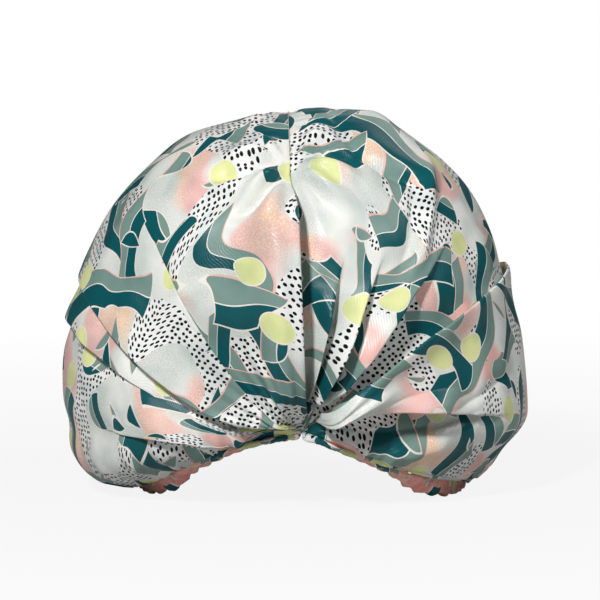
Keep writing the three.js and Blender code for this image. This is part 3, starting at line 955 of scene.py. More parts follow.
def sides():
    """Both halves of the cap."""
    return [CapSide("left"), CapSide("right")]


def grid_piece(name, points, flat, flip=False, closed=False):
    """A sheet of rows and columns of points, with its place on the flat cloth as a UV map.

    flip turns its faces over, and closed joins its long edges.
    """
    rows, columns = points.shape[:2]
    mesh = bpy.data.meshes.new(name)
    net = bmesh.new()
    net.loops.layers.uv.new("cloth")
    bmesh.ops.create_grid(net, x_segments=columns - 1, y_segments=rows - 1, size=1, calc_uvs=True)
    if flip:
        bmesh.ops.reverse_faces(net, faces=net.faces)
    net.to_mesh(mesh)
    place = np.empty(len(mesh.vertices) * 3, np.float32)
    mesh.vertices.foreach_get("co", place)
    place = place.reshape(-1, 3)
    column = np.rint((place[:, 0] + 1) / 2 * (columns - 1)).astype(int)
    row = np.rint((place[:, 1] + 1) / 2 * (rows - 1)).astype(int)
    mesh.vertices.foreach_set("co", points[row, column].astype(np.float32).ravel())
    corner = np.empty(len(mesh.loops), np.int32)
    mesh.loops.foreach_get("vertex_index", corner)
    on_cloth = flat[row, column][corner]
    mesh.uv_layers["cloth"].data.foreach_set("uv", on_cloth.astype(np.float32).ravel())
    if closed:
        net.clear()
        net.from_mesh(mesh)
        bmesh.ops.remove_doubles(net, verts=net.verts, dist=MERGE_DISTANCE)
        net.to_mesh(mesh)
    net.free()
    return show(name, mesh)


def mesh_piece(name, net):
    """A piece from a finished bmesh."""
    mesh = bpy.data.meshes.new(name)
    net.to_mesh(mesh)
    net.free()
    return show(name, mesh)


def show(name, mesh):
    """An object in the scene for a mesh, shaded smooth."""
    mesh.shade_smooth()
    mesh.update()
    piece = bpy.data.objects.new(name, mesh)
    bpy.context.collection.objects.link(piece)
    return piece


def dress(piece, material, node):
    """Gives a piece its material, and hides the solid that it stands for."""
    piece.data.materials.append(material)
    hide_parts(node)


def thicken(piece, thickness):
    """Gives a sheet its thickness, towards the inside of the cap."""
    wall = piece.modifiers.new("thickness", "SOLIDIFY")
    wall.thickness = thickness
    wall.offset = -1


def stretch_with(piece):
    """Bakes a piece's place into its mesh."""
    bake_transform(piece)


def add_node(tree, kind, inputs=None, **settings):
    """A node with its settings, and its inputs linked to sockets or set to values."""
    node = tree.nodes.new(kind)
    for name, value in settings.items():
        setattr(node, name, value)
    for name, value in (inputs or {}).items():
        socket = node.inputs[name]
        if isinstance(value, bpy.types.NodeSocket):
            tree.links.new(value, socket)
        else:
            socket.default_value = value
    return node


def calculate(tree, operation, first, second=0.0, third=0.0):
    """Result of a math node."""
    given = {0: first, 1: second, 2: third}
    return add_node(tree, "ShaderNodeMath", given, operation=operation).outputs[0]


def ramp(tree, value, low, high):
    """0 below low and 1 above high."""
    given = {"Value": value, "From Min": low, "From Max": high}
    return add_node(tree, "ShaderNodeMapRange", given, clamp=True).outputs[0]


# Sockets of a mix node that take colours
MIX_UNDER = 6
MIX_OVER = 7
MIX_RESULT = 2


def paint(tree, under, over, mask, blend="MIX"):
    """The colour over on the colour under, where the mask is 1."""
    given = {0: mask, MIX_UNDER: under, MIX_OVER: over}
    node = add_node(tree, "ShaderNodeMix", given, data_type="RGBA", blend_type=blend)
    return node.outputs[MIX_RESULT]


def opaque(value):
    """A colour with full alpha."""
    return (*value, 1.0)


def new_group(name, inputs, outputs):
    """A shader node group with named sockets, and its two end nodes."""
    tree = bpy.data.node_groups.new(name, "ShaderNodeTree")
    for label, kind in inputs:
        tree.interface.new_socket(label, in_out="INPUT", socket_type=kind)
    for label, kind in outputs:
        tree.interface.new_socket(label, in_out="OUTPUT", socket_type=kind)
    return tree, tree.nodes.new("NodeGroupInput"), tree.nodes.new("NodeGroupOutput")


def place_group(tree, group, inputs):
    """A node that uses a group."""
    return add_node(tree, "ShaderNodeGroup", inputs, node_tree=group)


def noise(tree, vector, scale, detail):
    """Noise in the plane of the cloth."""
    given = {"Vector": vector, "Scale": scale, "Detail": detail}
    return add_node(tree, "ShaderNodeTexNoise", given, noise_dimensions="2D").outputs


def cells(tree, vector, pitch, scatter):
    """Cells about one pitch apart, with the distance from their middles."""
    given = {"Vector": vector, "Scale": 1 / pitch, "Randomness": scatter}
    return add_node(tree, "ShaderNodeTexVoronoi", given, voronoi_dimensions="2D").outputs


def moved(tree, vector, offset, turn=0.0):
    """A place moved and turned in the plane of the cloth."""
    given = {"Vector": vector, "Location": (*offset, 0), "Rotation": (0, 0, turn)}
    return add_node(tree, "ShaderNodeMapping", given).outputs[0]


def vector_math(tree, operation, *vectors):
    """Result of a vector math node."""
    return add_node(tree, "ShaderNodeVectorMath", dict(enumerate(vectors)), operation=operation).outputs[0]


class Blotch(NamedTuple):
    """Noise that lays out one kind of patch: its offset on the cloth, its scale and its detail."""

    offset: tuple
    scale: float
    detail: float


def blotches(tree, cloth, blotch):
    """Noise value of one kind of patch."""
    return noise(tree, moved(tree, cloth, blotch.offset), blotch.scale, blotch.detail)["Fac"]


# Ribbons of the print, with the offset and the turn of each layer
RIBBON_PERIOD = 42 * MM
RIBBON_LAYERS = (
    ((0.77, 0.58), math.radians(95)),
    ((0.52, 0.33), math.radians(-35)),
    ((0.0, 0.0), math.radians(35)),
)
TEAL_SHARE = 0.27
LINE_WIDTH = 0.018
SAGE_SHARE = 0.23
WANDER_SCALE = 16.0
WANDER_DETAIL = 0.6
WANDER_MIDDLE = (0.5, 0.5, 0.5)
WARP = 24 * MM
GAP_BLOTCH = Blotch((0.31, 0.17), 20.0, 0.0)
GAP_RIM = 0.01


def ribbon_layer(tree, vector, offset, turn, colours, under, spare):
    """Winding two-tone ribbons with thin outlines, painted on the colour under."""
    shifted = moved(tree, vector, offset, turn)
    wander = noise(tree, shifted, WANDER_SCALE, WANDER_DETAIL)["Color"]
    sway = vector_math(tree, "SUBTRACT", wander, WANDER_MIDDLE)
    bent = vector_math(tree, "MULTIPLY_ADD", sway, (WARP, WARP * 2, 0), shifted)
    across = add_node(tree, "ShaderNodeSeparateXYZ", {0: bent}).outputs[1]
    share = calculate(tree, "FRACT", calculate(tree, "DIVIDE", across, RIBBON_PERIOD))
    gaps = blotches(tree, shifted, GAP_BLOTCH)
    held = calculate(tree, "GREATER_THAN", gaps, spare)
    rim = calculate(tree, "GREATER_THAN", gaps, calculate(tree, "SUBTRACT", spare, GAP_RIM))
    stops = (
        (0, colours.cream),
        (LINE_WIDTH, colours.teal),
        (TEAL_SHARE, colours.cream),
        (TEAL_SHARE + LINE_WIDTH, colours.sage),
        (TEAL_SHARE + SAGE_SHARE, colours.pink),
        (TEAL_SHARE + SAGE_SHARE + LINE_WIDTH, colours.ground),
    )
    bands = add_node(tree, "ShaderNodeValToRGB", {0: share})
    bands.color_ramp.interpolation = "CONSTANT"
    while len(bands.color_ramp.elements) < len(stops):
        bands.color_ramp.elements.new(1.0)
    for element, (position, tint) in zip(bands.color_ramp.elements, stops):
        element.position = position
        element.color = opaque(tint)
    inside = calculate(tree, "LESS_THAN", share, stops[-1][0])
    outlined = paint(tree, opaque(colours.cream), bands.outputs[0], held)
    return paint(tree, under, outlined, calculate(tree, "MULTIPLY", inside, rim))


def dotted(tree, vector, pitch, size, scatter):
    """1 in small round dots, 0 between them."""
    return calculate(tree, "LESS_THAN", cells(tree, vector, pitch, scatter)["Distance"], size)


# Ground of the print: grey and blush patches, and fine pale speckles
GREY_BLOTCH = Blotch((0.7, 0.1), 16.0, 2.0)
GREY_RANGE = (0.42, 0.72)
PEACH_RANGE = (0.5, 0.68)
BLUSH_BLOTCH = Blotch((0.2, 0.9), 18.0, 1.0)
BLUSH_RANGE = (0.53, 0.62)
SPECKLE_PITCH = 1.25 * MM
SPECKLE_SIZE = 0.24
SPECKLE_RANGE = (0.4, 0.55)
SPECKLE_STRENGTH = 0.75

# Dotted patches and discs, and the darker wash over all
DOT_BLOTCH = Blotch((0.45, 0.6), 20.0, 0.0)
DOT_LEVEL = 0.56
DOT_PITCH = 3.5 * MM
DOT_SIZE = 0.285
DOT_SCATTER = 0.45
DISC_OFFSET = (0.13, 0.05)
DISC_PITCH = 50 * MM
DISC_SCATTER = 0.85
DISC_SPARE = 0.35
DISC_RIM = 0.175
DISC_SIZE = 0.16
WASH_BLOTCH = Blotch((0.9, 0.4), 34.0, 2.0)
WASH_RANGE = (0.45, 0.7)
WASH_TINT = (0.76, 0.81, 0.81, 1.0)


def print_group(colours):
    """All-over print: winding ribbons, dotted patches, soft blush patches and plain discs."""
    tree, given, made = new_group(
        "cap print",
        [
            ("Cloth", "NodeSocketVector"),
            ("Pink", "NodeSocketColor"),
            ("Blush", "NodeSocketFloat"),
            ("Gaps", "NodeSocketFloat"),
        ],
        [("Colour", "NodeSocketColor")],
    )
    cloth = given.outputs["Cloth"]
    soft = blotches(tree, cloth, GREY_BLOTCH)
    ground = paint(tree, opaque(colours.ground), opaque(colours.grey), ramp(tree, soft, *GREY_RANGE))
    warm = blotches(tree, cloth, BLUSH_BLOTCH)
    tint = paint(tree, given.outputs["Pink"], opaque(colours.peach), ramp(tree, soft, *PEACH_RANGE))
    blush = calculate(tree, "ADD", ramp(tree, warm, *BLUSH_RANGE), given.outputs["Blush"])
    blush = add_node(tree, "ShaderNodeClamp", {0: blush}).outputs[0]
    base = paint(tree, ground, tint, blush)
    speckle = dotted(tree, cloth, SPECKLE_PITCH, SPECKLE_SIZE, 1.0)
    speckle = calculate(tree, "MULTIPLY", speckle, ramp(tree, soft, *SPECKLE_RANGE))
    speckle = calculate(tree, "MULTIPLY", speckle, SPECKLE_STRENGTH)
    base = paint(tree, base, opaque(colours.white), speckle)
    level = calculate(tree, "ADD", given.outputs["Blush"], DOT_LEVEL)
    patch = calculate(tree, "GREATER_THAN", blotches(tree, cloth, DOT_BLOTCH), level)
    dot = dotted(tree, cloth, DOT_PITCH, DOT_SIZE, DOT_SCATTER)
    base = paint(tree, base, paint(tree, opaque(colours.white), opaque(colours.ink), dot), patch)
    for offset, turn in RIBBON_LAYERS:
        base = ribbon_layer(tree, cloth, offset, turn, colours, base, given.outputs["Gaps"])
    discs = cells(tree, moved(tree, cloth, DISC_OFFSET), DISC_PITCH, DISC_SCATTER)
    chosen = add_node(tree, "ShaderNodeSeparateColor", {0: discs["Color"]}).outputs[0]
    chosen = calculate(tree, "GREATER_THAN", chosen, DISC_SPARE)
    edge = calculate(tree, "LESS_THAN", discs["Distance"], DISC_RIM)
    core = calculate(tree, "LESS_THAN", discs["Distance"], DISC_SIZE)
    disc = paint(tree, opaque(colours.cream), opaque(colours.lime), core)
    design = paint(tree, base, disc, calculate(tree, "MULTIPLY", edge, chosen))
    wash = ramp(tree, blotches(tree, cloth, WASH_BLOTCH), *WASH_RANGE)
    darker = paint(tree, design, WASH_TINT, 1.0, "MULTIPLY")
    tree.links.new(paint(tree, design, darker, wash), made.inputs["Colour"])
    return tree


# Satin weave, from the pitch of its ribs to the size of its slubs
WEAVE_PITCH = 1.3 * MM
WEAVE_SLANT = math.radians(38)
WEAVE_HEIGHT = 0.13 * MM
WEAVE_STRENGTH = 0.8
RIB_SHARE = 0.3
SLUB_SCALE = 520.0
SLUB_DETAIL = 2.0


def weave_group():
    """Fine slanted ribs of a satin weave, as a height."""
    tree, given, made = new_group(
        "satin weave",
        [("Cloth", "NodeSocketVector"), ("Pitch", "NodeSocketFloat")],
        [("Height", "NodeSocketFloat")],
    )
    turned = moved(tree, given.outputs["Cloth"], (0, 0), WEAVE_SLANT)
    across = add_node(tree, "ShaderNodeSeparateXYZ", {0: turned}).outputs[0]
    turns = calculate(tree, "DIVIDE", across, given.outputs["Pitch"])
    ribs = calculate(tree, "SINE", calculate(tree, "MULTIPLY", turns, 2 * math.pi))
    slubs = noise(tree, given.outputs["Cloth"], SLUB_SCALE, SLUB_DETAIL)["Fac"]
    tree.links.new(calculate(tree, "MULTIPLY_ADD", ribs, RIB_SHARE, slubs), made.inputs["Height"])
    return tree


def new_material(name, roughness, specular):
    """A material with a plain shader, its tree and its shader node."""
    material = bpy.data.materials.new(name)
    material.use_nodes = True
    tree = material.node_tree
    shader = tree.nodes["Principled BSDF"]
    shader.inputs["Roughness"].default_value = roughness
    shader.inputs["Specular IOR Level"].default_value = specular
    return material, tree, shader


def bump(tree, shader, height, distance, strength=1.0):
    """Gives a shader the relief of a height."""
    node = add_node(tree, "ShaderNodeBump", {"Height": height, "Distance": distance, "Strength": strength})
    tree.links.new(node.outputs[0], shader.inputs["Normal"])


def shade(tree, shader, tint, hollow_shade, mask):
    """Colours a shader with a tint, down to a darker share of it where the mask is 0: painted shade, since
    the callers' masks follow the low parts of the relief.
    """
    dark = opaque(tuple(hollow_shade * value for value in tint))
    tree.links.new(paint(tree, dark, opaque(tint), mask), shader.inputs["Base Color"])


# Roughness and specular level of each material
SATIN_SHINE = (0.32, 0.24)
FILM_SHINE = (0.38, 0.5)
KNIT_SHINE = (0.75, 0.3)
THREAD_SHINE = (0.6, 0.35)
PAPER_SHINE = (0.9, 0.1)


def satin_material(name, pink, offset, blush, gaps):
    """Printed satin. offset moves the print on the cloth, blush adds pink, and gaps leaves out ribbons."""
    material, tree, shader = new_material(name, *SATIN_SHINE)
    cloth = add_node(tree, "ShaderNodeUVMap", uv_map="cloth").outputs[0]
    shifted = moved(tree, cloth, offset)
    groups = bpy.data.node_groups
    colours = bpy.context.scene.cap_colours
    design = groups.get("cap print") or print_group(colours)
    weave = groups.get("satin weave") or weave_group()
    given = {"Cloth": shifted, "Pink": opaque(pink), "Blush": blush, "Gaps": gaps}
    tint = place_group(tree, design, given).outputs["Colour"]
    tree.links.new(tint, shader.inputs["Base Color"])
    ribs = place_group(tree, weave, {"Cloth": cloth, "Pitch": WEAVE_PITCH}).outputs["Height"]
    bump(tree, shader, ribs, WEAVE_HEIGHT, WEAVE_STRENGTH)
    return material


FILM_DETAIL = 4.0
FILM_DISTORTION = 0.6
# Painted shade: the film's colour falls to this share in the hollows of its crinkles
FILM_HOLLOW_SHADE = 0.88
FILM_RANGE = (0.3, 0.6)
FILM_HEIGHT = 0.4 * MM
FILM_STRENGTH = 0.5


def crinkle_group():
    """Faint crinkles of a soft film, as a height."""
    tree, given, made = new_group(
        "film crinkle",
        [("Place", "NodeSocketVector"), ("Scale", "NodeSocketFloat")],
        [("Height", "NodeSocketFloat")],
    )
    inputs = {
        "Vector": given.outputs["Place"],
        "Scale": given.outputs["Scale"],
        "Detail": FILM_DETAIL,
        "Distortion": FILM_DISTORTION,
    }
    crinkle = add_node(tree, "ShaderNodeTexNoise", inputs).outputs["Fac"]
    tree.links.new(crinkle, made.inputs["Height"])
    return tree


def film_material(name, tint, pitch):
    """Soft waterproof film with faint crinkles, and painted shade in the crinkles' hollows."""
    material, tree, shader = new_material(name, *FILM_SHINE)
    place = add_node(tree, "ShaderNodeTexCoord").outputs["Object"]
    crinkles = bpy.data.node_groups.get("film crinkle") or crinkle_group()
    crinkle = place_group(tree, crinkles, {"Place": place, "Scale": 1 / pitch}).outputs["Height"]
    shade(tree, shader, tint, FILM_HOLLOW_SHADE, ramp(tree, crinkle, *FILM_RANGE))
    bump(tree, shader, crinkle, FILM_HEIGHT, FILM_STRENGTH)
    return material


KNIT_PITCHES = (1.1 * MM, 0.8 * MM)
KNIT_ROW_SHARE = 0.4
# Painted shade: the elastic's colour falls to this share in the grooves of its ribs and rows
KNIT_GROOVE_SHADE = 0.72
KNIT_RANGE = (-1.2, 0.4)
KNIT_HEIGHT = 0.12 * MM


def knit_material(name, tint):
    """Elastic with ribs along it and knitted rows across, with painted shade in the grooves between them."""
    material, tree, shader = new_material(name, *KNIT_SHINE)
    cloth = add_node(tree, "ShaderNodeUVMap", uv_map="cloth").outputs[0]
    parts = add_node(tree, "ShaderNodeSeparateXYZ", {0: cloth}).outputs
    ribs, rows = (
        calculate(tree, "SINE", calculate(tree, "MULTIPLY", part, 2 * math.pi / pitch))
        for part, pitch in zip(parts, KNIT_PITCHES)
    )
    height = calculate(tree, "MULTIPLY_ADD", rows, KNIT_ROW_SHARE, ribs)
    shade(tree, shader, tint, KNIT_GROOVE_SHADE, ramp(tree, height, *KNIT_RANGE))
    bump(tree, shader, height, KNIT_HEIGHT)
    return material


TWIST_SCALE = 420.0
TWIST_DISTORTION = 1.0
# Painted shade: the thread's colour falls to this share in the grooves of its twist
THREAD_GROOVE_SHADE = 0.65
THREAD_HEIGHT = 0.1 * MM


def thread_material(name, tint):
    """Twisted sewing thread, with painted shade in the grooves of its twist."""
    material, tree, shader = new_material(name, *THREAD_SHINE)
    place = add_node(tree, "ShaderNodeTexCoord").outputs["Object"]
    given = {"Vector": place, "Scale": TWIST_SCALE, "Distortion": TWIST_DISTORTION}
    twist = add_node(tree, "ShaderNodeTexWave", given, bands_direction="DIAGONAL").outputs["Fac"]
    shade(tree, shader, tint, THREAD_GROOVE_SHADE, twist)
    bump(tree, shader, twist, THREAD_HEIGHT)
    return material


def sewing_thread():
    """The one thread of all stitches and tacks."""
    name = "sewing thread"
    return bpy.data.materials.get(name) or thread_material(name, bpy.context.scene.cap_colours.thread)


# How the print lies on each satin: its offset, the pink added and the gaps between its ribbons
BODY_PRINT = ((0.0, 0.0), 0.0, 0.58)
HEM_PRINT = ((0.33, 0.21), 1.0, 0.66)


class CAP_OT_satin_halves(Operator):
    """Pleated satin halves, drawn into the knot"""

    bl_idname = "cap.satin_halves"
    bl_label = "Satin halves"

    def execute(self, context):
        folds = context.scene.cap_folds
        tip = context.scene.cap_dome.tip
        satin = satin_material("printed satin", context.scene.cap_colours.pink, *BODY_PRINT)
        cover = np.linspace(KNOT_TIP, tip, KNOT_ROWS, endpoint=False)[:, None]
        beta = np.vstack([cover, row_angles(tip, folds.rows)])
        for side in sides():
            alpha, lift, flat = side.satin_columns(beta)
            piece = grid_piece("satin_" + side.name, side.raised(alpha, beta, lift), flat, flip=side.right)
            dress(piece, satin, "outer_panel_" + side.name)
            thicken(piece, folds.thickness)
            stretch_with(piece)
        return {"FINISHED"}


LINING_ROWS = 130
LINING_COLUMNS = 70
CRINKLE_PITCH = 3.1 * MM
CRINKLE_SWAY = 4
CRINKLE_COUNT = 23
FILM_PITCH = 12 * MM
TAPE_ROWS = slice(6, -3)
TAPE_COLUMNS = 7
TAPE_PITCH = 5 * MM


class CAP_OT_linings(Operator):
    """Waterproof film inside each half, and the tape over its seam"""

    bl_idname = "cap.linings"
    bl_label = "Linings"

    def execute(self, context):
        sizes = context.scene.cap_lining
        colours = context.scene.cap_colours
        film = film_material("waterproof film", colours.film, FILM_PITCH)
        beta = row_angles(context.scene.cap_dome.tip, LINING_ROWS)
        share = np.linspace(0, 1, LINING_COLUMNS)[None, :]
        sway = CRINKLE_SWAY * np.sin(CRINKLE_COUNT * beta)
        for side in sides():
            alpha = mix(side.hem_angle(beta), side.seam, share)
            crinkle = sizes.crinkle * np.sin(side.from_seam(alpha, beta) / CRINKLE_PITCH + sway)
            points = side.raised(alpha, beta, crinkle - sizes.face - sizes.crinkle)
            flat = flat_map(-side.from_seam(alpha, beta), side.flat_along(beta))
            piece = grid_piece("lining_film_" + side.name, points, flat, flip=side.right)
            dress(piece, film, "lining_" + side.name)
            thicken(piece, sizes.film)
            stretch_with(piece)
        self.tape(sizes, colours, beta[TAPE_ROWS])
        return {"FINISHED"}

    def tape(self, sizes, colours, beta):
        left, right = sides()
        columns = []
        for share in np.linspace(-1, 1, TAPE_COLUMNS):
            side = right if share > 0 else left
            radius = side.turn_radius(np.full_like(beta, side.seam), beta)
            alpha = side.seam - abs(share) * sizes.tape_width / 2 / radius
            columns.append(side.raised(alpha, beta, -sizes.tape_face))
        points = np.concatenate(columns, axis=1)
        along = arc_lengths(points[:, TAPE_COLUMNS // 2])[:, None]
        across = np.linspace(0, sizes.tape_width, TAPE_COLUMNS)[None, :]
        piece = grid_piece("seam_tape", points, flat_map(across, along), flip=True)
        tape = film_material("seam tape", colours.tape, TAPE_PITCH)
        dress(piece, tape, "lining_seam_tape")
        thicken(piece, sizes.tape_thickness)
        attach(piece, "centre")


def ring(count, width, height, power):
    """A closed ring with round corners: the turn of each point, and how far out and down it lies."""
    turn = np.linspace(0, 2 * math.pi, count)
    out = np.sign(np.cos(turn)) * np.abs(np.cos(turn)) ** (2 / power)
    drop = np.sign(np.sin(turn)) * np.abs(np.sin(turn)) ** (2 / power)
    return turn, out * width / 2, drop * height / 2


CASING_ROWS = 420
CASING_COLUMNS = 33
CASING_POWER = 3.2
SCRUNCH_SLANT = 1.5 * MM
SCRUNCH_FINE = 0.5
SCRUNCH_FINE_SHIFT = 0.1
SCRUNCH_FINE_BEAT = 2.3
SCALLOP = 0.3
SCALLOP_SHIFT = 0.03
SCALLOP_BEAT = 1.3
GATHER_KNOT = 0.3
GATHER_RISE = (0.35, 0.75)


def casing_points(side, beta, turn, out, drop):
    """Gathered surface of the casing, and the distance of each row along it."""
    hem = bpy.context.scene.cap_hem
    centre, down, outward, depth = (part[:, 0] for part in side.hem_frame(beta))
    along = arc_lengths(centre)[:, None]
    slant = along + SCRUNCH_SLANT * np.sin(turn)
    fine = uneven_wave(slant + SCRUNCH_FINE_SHIFT, hem.gather_pitch / SCRUNCH_FINE_BEAT)
    scrunch = uneven_wave(slant, hem.gather_pitch) + SCRUNCH_FINE * fine
    scallop = uneven_wave(slant + SCALLOP_SHIFT, hem.gather_pitch * SCALLOP_BEAT)
    scallop = SCALLOP * (1 + np.sin(turn)) * scallop
    gather = hem.gather * mix(GATHER_KNOT, 1, smooth(side.progress(beta), *GATHER_RISE))
    reach = out * (depth + gather * scrunch)
    fall = drop + gather * scallop
    points = centre[:, None] + outward[:, None] * reach[..., None] + down[:, None] * fall[..., None]
    points[..., 2] = np.maximum(points[..., 2], 0)
    return points, along


class CAP_OT_hem_casings(Operator):
    """Gathered casings round the elastic"""

    bl_idname = "cap.hem_casings"
    bl_label = "Hem casings"

    def execute(self, context):
        hem = context.scene.cap_hem
        satin = satin_material("hem satin", context.scene.cap_colours.hem, *HEM_PRINT)
        beta = row_angles(hem.tip, CASING_ROWS, 1)
        turn, out, drop = ring(CASING_COLUMNS, 1, hem.casing_height, CASING_POWER)
        edge = np.cumsum(np.hypot(np.diff(out * hem.casing_depth, prepend=0), np.diff(drop, prepend=0)))
        for side in sides():
            points, along = casing_points(side, beta, turn, out, drop)
            flat = flat_map(edge[None, :], along * GATHERED)
            name = "hem_casing_cloth_" + side.name
            piece = grid_piece(name, points, flat, flip=not side.right, closed=True)
            dress(piece, satin, "hem_casing_" + side.name)
            thicken(piece, context.scene.cap_folds.thickness)
            stretch_with(piece)
        return {"FINISHED"}


ELASTIC_ROWS = 200
ELASTIC_COLUMNS = 21
ELASTIC_POWER = 6


class CAP_OT_elastics(Operator):
    """Flat knitted elastic inside each casing"""

    bl_idname = "cap.elastics"
    bl_label = "Elastics"

    def execute(self, context):
        hem = context.scene.cap_hem
        knit = knit_material("knitted elastic", context.scene.cap_colours.elastic)
        beta = row_angles(hem.tip, ELASTIC_ROWS, 1)
        _, out, drop = ring(ELASTIC_COLUMNS, hem.elastic_thickness, hem.elastic_width, ELASTIC_POWER)
        edge = arc_lengths(np.stack([out, drop], axis=-1))[None, :]
        for side in sides():
            centre, down, outward, _ = (part[:, 0] for part in side.hem_frame(beta))
            points = centre[:, None] + outward[:, None] * out[None, :, None]
            points = points + down[:, None] * drop[None, :, None]
            flat = flat_map(edge, arc_lengths(centre)[:, None])
            piece = grid_piece("elastic_band_" + side.name, points, flat, flip=not side.right, closed=True)
            dress(piece, knit, "elastic_" + side.name)
            stretch_with(piece)
        return {"FINISHED"}


STITCH_ROWS = 400
STITCH_INSET = 0.1
STITCH_FACES = (6, 5)
SEAM_SPARE = 20


def stitch_row(name, path, hem):
    """A row of short stitches along a path of points."""
    net = bmesh.new()
    along = arc_lengths(path)
    pitch = hem.stitch + hem.stitch_gap
    around, ahead = STITCH_FACES
    for i in range(int(along[-1] / pitch)):
        start = (i + STITCH_INSET) * pitch
        ends = (start, start + hem.stitch)
        first, second = (Vector([np.interp(end, along, row) for row in path.T]) for end in ends)
        run = second - first
        size = Matrix.Diagonal((hem.thread / 2, hem.thread / 2, run.length / 2, 1))
        turned = run.to_track_quat("Z", "Y").to_matrix().to_4x4()
        place = Matrix.Translation((first + second) / 2) @ turned @ size
        bmesh.ops.create_uvsphere(net, u_segments=around, v_segments=ahead, radius=1, matrix=place)
    return mesh_piece(name, net)


class CAP_OT_stitches(Operator):
    """Stitches along the casings and the crown seam"""

    bl_idname = "cap.stitches"
    bl_label = "Stitches"

    def execute(self, context):
        hem = context.scene.cap_hem
        thread = sewing_thread()
        rise = 1 - 2 * hem.stitch_drop / hem.casing_height
        turn = np.array([-math.asin(rise ** (CASING_POWER / 2))])
        out = np.cos(turn) ** (2 / CASING_POWER) / 2
        beta = row_angles(hem.tip, STITCH_ROWS, 1)
        for side in sides():
            path, _ = casing_points(side, beta, turn, out, -rise * hem.casing_height / 2)
            piece = stitch_row("hem_stitches_" + side.name, path[:, 0], hem)
            dress(piece, thread, "hem_stitch_" + side.name)
            stretch_with(piece)
        side = CapSide("right")
        beta = row_angles(context.scene.cap_dome.tip, STITCH_ROWS)
        beta = beta[(side.progress(beta) > PIT_END + PIT_FADE)[:, 0]][:-SEAM_SPARE]
        lift = context.scene.cap_folds.puff_least + hem.thread
        path = side.raised(np.full_like(beta, side.seam), beta, lift)[:, 0]
        piece = stitch_row("crown_stitches", path, hem)
        dress(piece, thread, "centre_seam_stitch")
        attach(piece, "centre")
        return {"FINISHED"}


# Tacks: name of the piece, the solid that it stands for and the box of that solid
TACKS = (
    ("knot_winding", "front_knot_tack", KNOT_BOX),
    ("rear_winding", "rear_tack", REAR_BOX),
)
TACK_WRAPS = 11
TACK_TAPER = 0.12
WRAP_SEGMENTS = 8
WRAP_STEPS = 28
BAR_LENGTH = 0.95
BAR_WIDTH = 0.85
BAR_FACES = (20, 14)


def wound_tack(name, low, high):
    """Thread wound round a short bar, in the box that the tack has."""
    middle = (low + high) / 2
    radius = (high.z - low.z) / 2
    half = (high.x - low.x) / 2
    wrap = half / TACK_WRAPS
    net = bmesh.new()
    for i in range(TACK_WRAPS):
        swell = 1 - TACK_TAPER * (2 * i / (TACK_WRAPS - 1) - 1) ** 2
        start = Vector((low.x + (2 * i + 1) * wrap, middle.y, middle.z + radius * swell - wrap))
        upright = Matrix.Translation(start) @ Matrix.Rotation(QUARTER_TURN, 4, "X")
        circle = bmesh.ops.create_circle(net, segments=WRAP_SEGMENTS, radius=wrap, matrix=upright)["verts"]
        edges = list({edge for vert in circle for edge in vert.link_edges})
        bmesh.ops.spin(
            net,
            geom=circle + edges,
            cent=middle,
            axis=(1, 0, 0),
            angle=4 * QUARTER_TURN,
            steps=WRAP_STEPS,
            use_merge=True,
        )
    bmesh.ops.remove_doubles(net, verts=net.verts, dist=MERGE_DISTANCE)
    size = Matrix.Diagonal((half * BAR_LENGTH, radius * BAR_WIDTH, radius * BAR_WIDTH, 1))
    bar = Matrix.Translation(middle) @ size @ Matrix.Rotation(QUARTER_TURN, 4, "Y")
    around, ahead = BAR_FACES
    bmesh.ops.create_uvsphere(net, u_segments=around, v_segments=ahead, radius=1, matrix=bar)
    bmesh.ops.recalc_face_normals(net, faces=net.faces)
    return mesh_piece(name, net)


class CAP_OT_tacks(Operator):
    """Wound thread that holds the knot and the rear"""

    bl_idname = "cap.tacks"
    bl_label = "Tacks"

    def execute(self, context):
        thread = sewing_thread()
        for name, node, box in TACKS:
            piece = wound_tack(name, *box)
            dress(piece, thread, node)
            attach(piece, "centre")
        return {"FINISHED"}


# Lamps: name of the lamp and of its power, place in metres and size
LAMPS = (
    ("key", (-0.7, -1.75, 1.55), 0.25),
    ("fill", (1.6, -0.5, 1.4), 0.5),
    ("back", (0.5, 1.9, 1.3), 1.2),
)
FLOOR_TINT = (0.5, 0.5, 0.5, 1)
SHADOW_GLOW = 0.88
SHADOW_REACH = (0.2, 0.9)


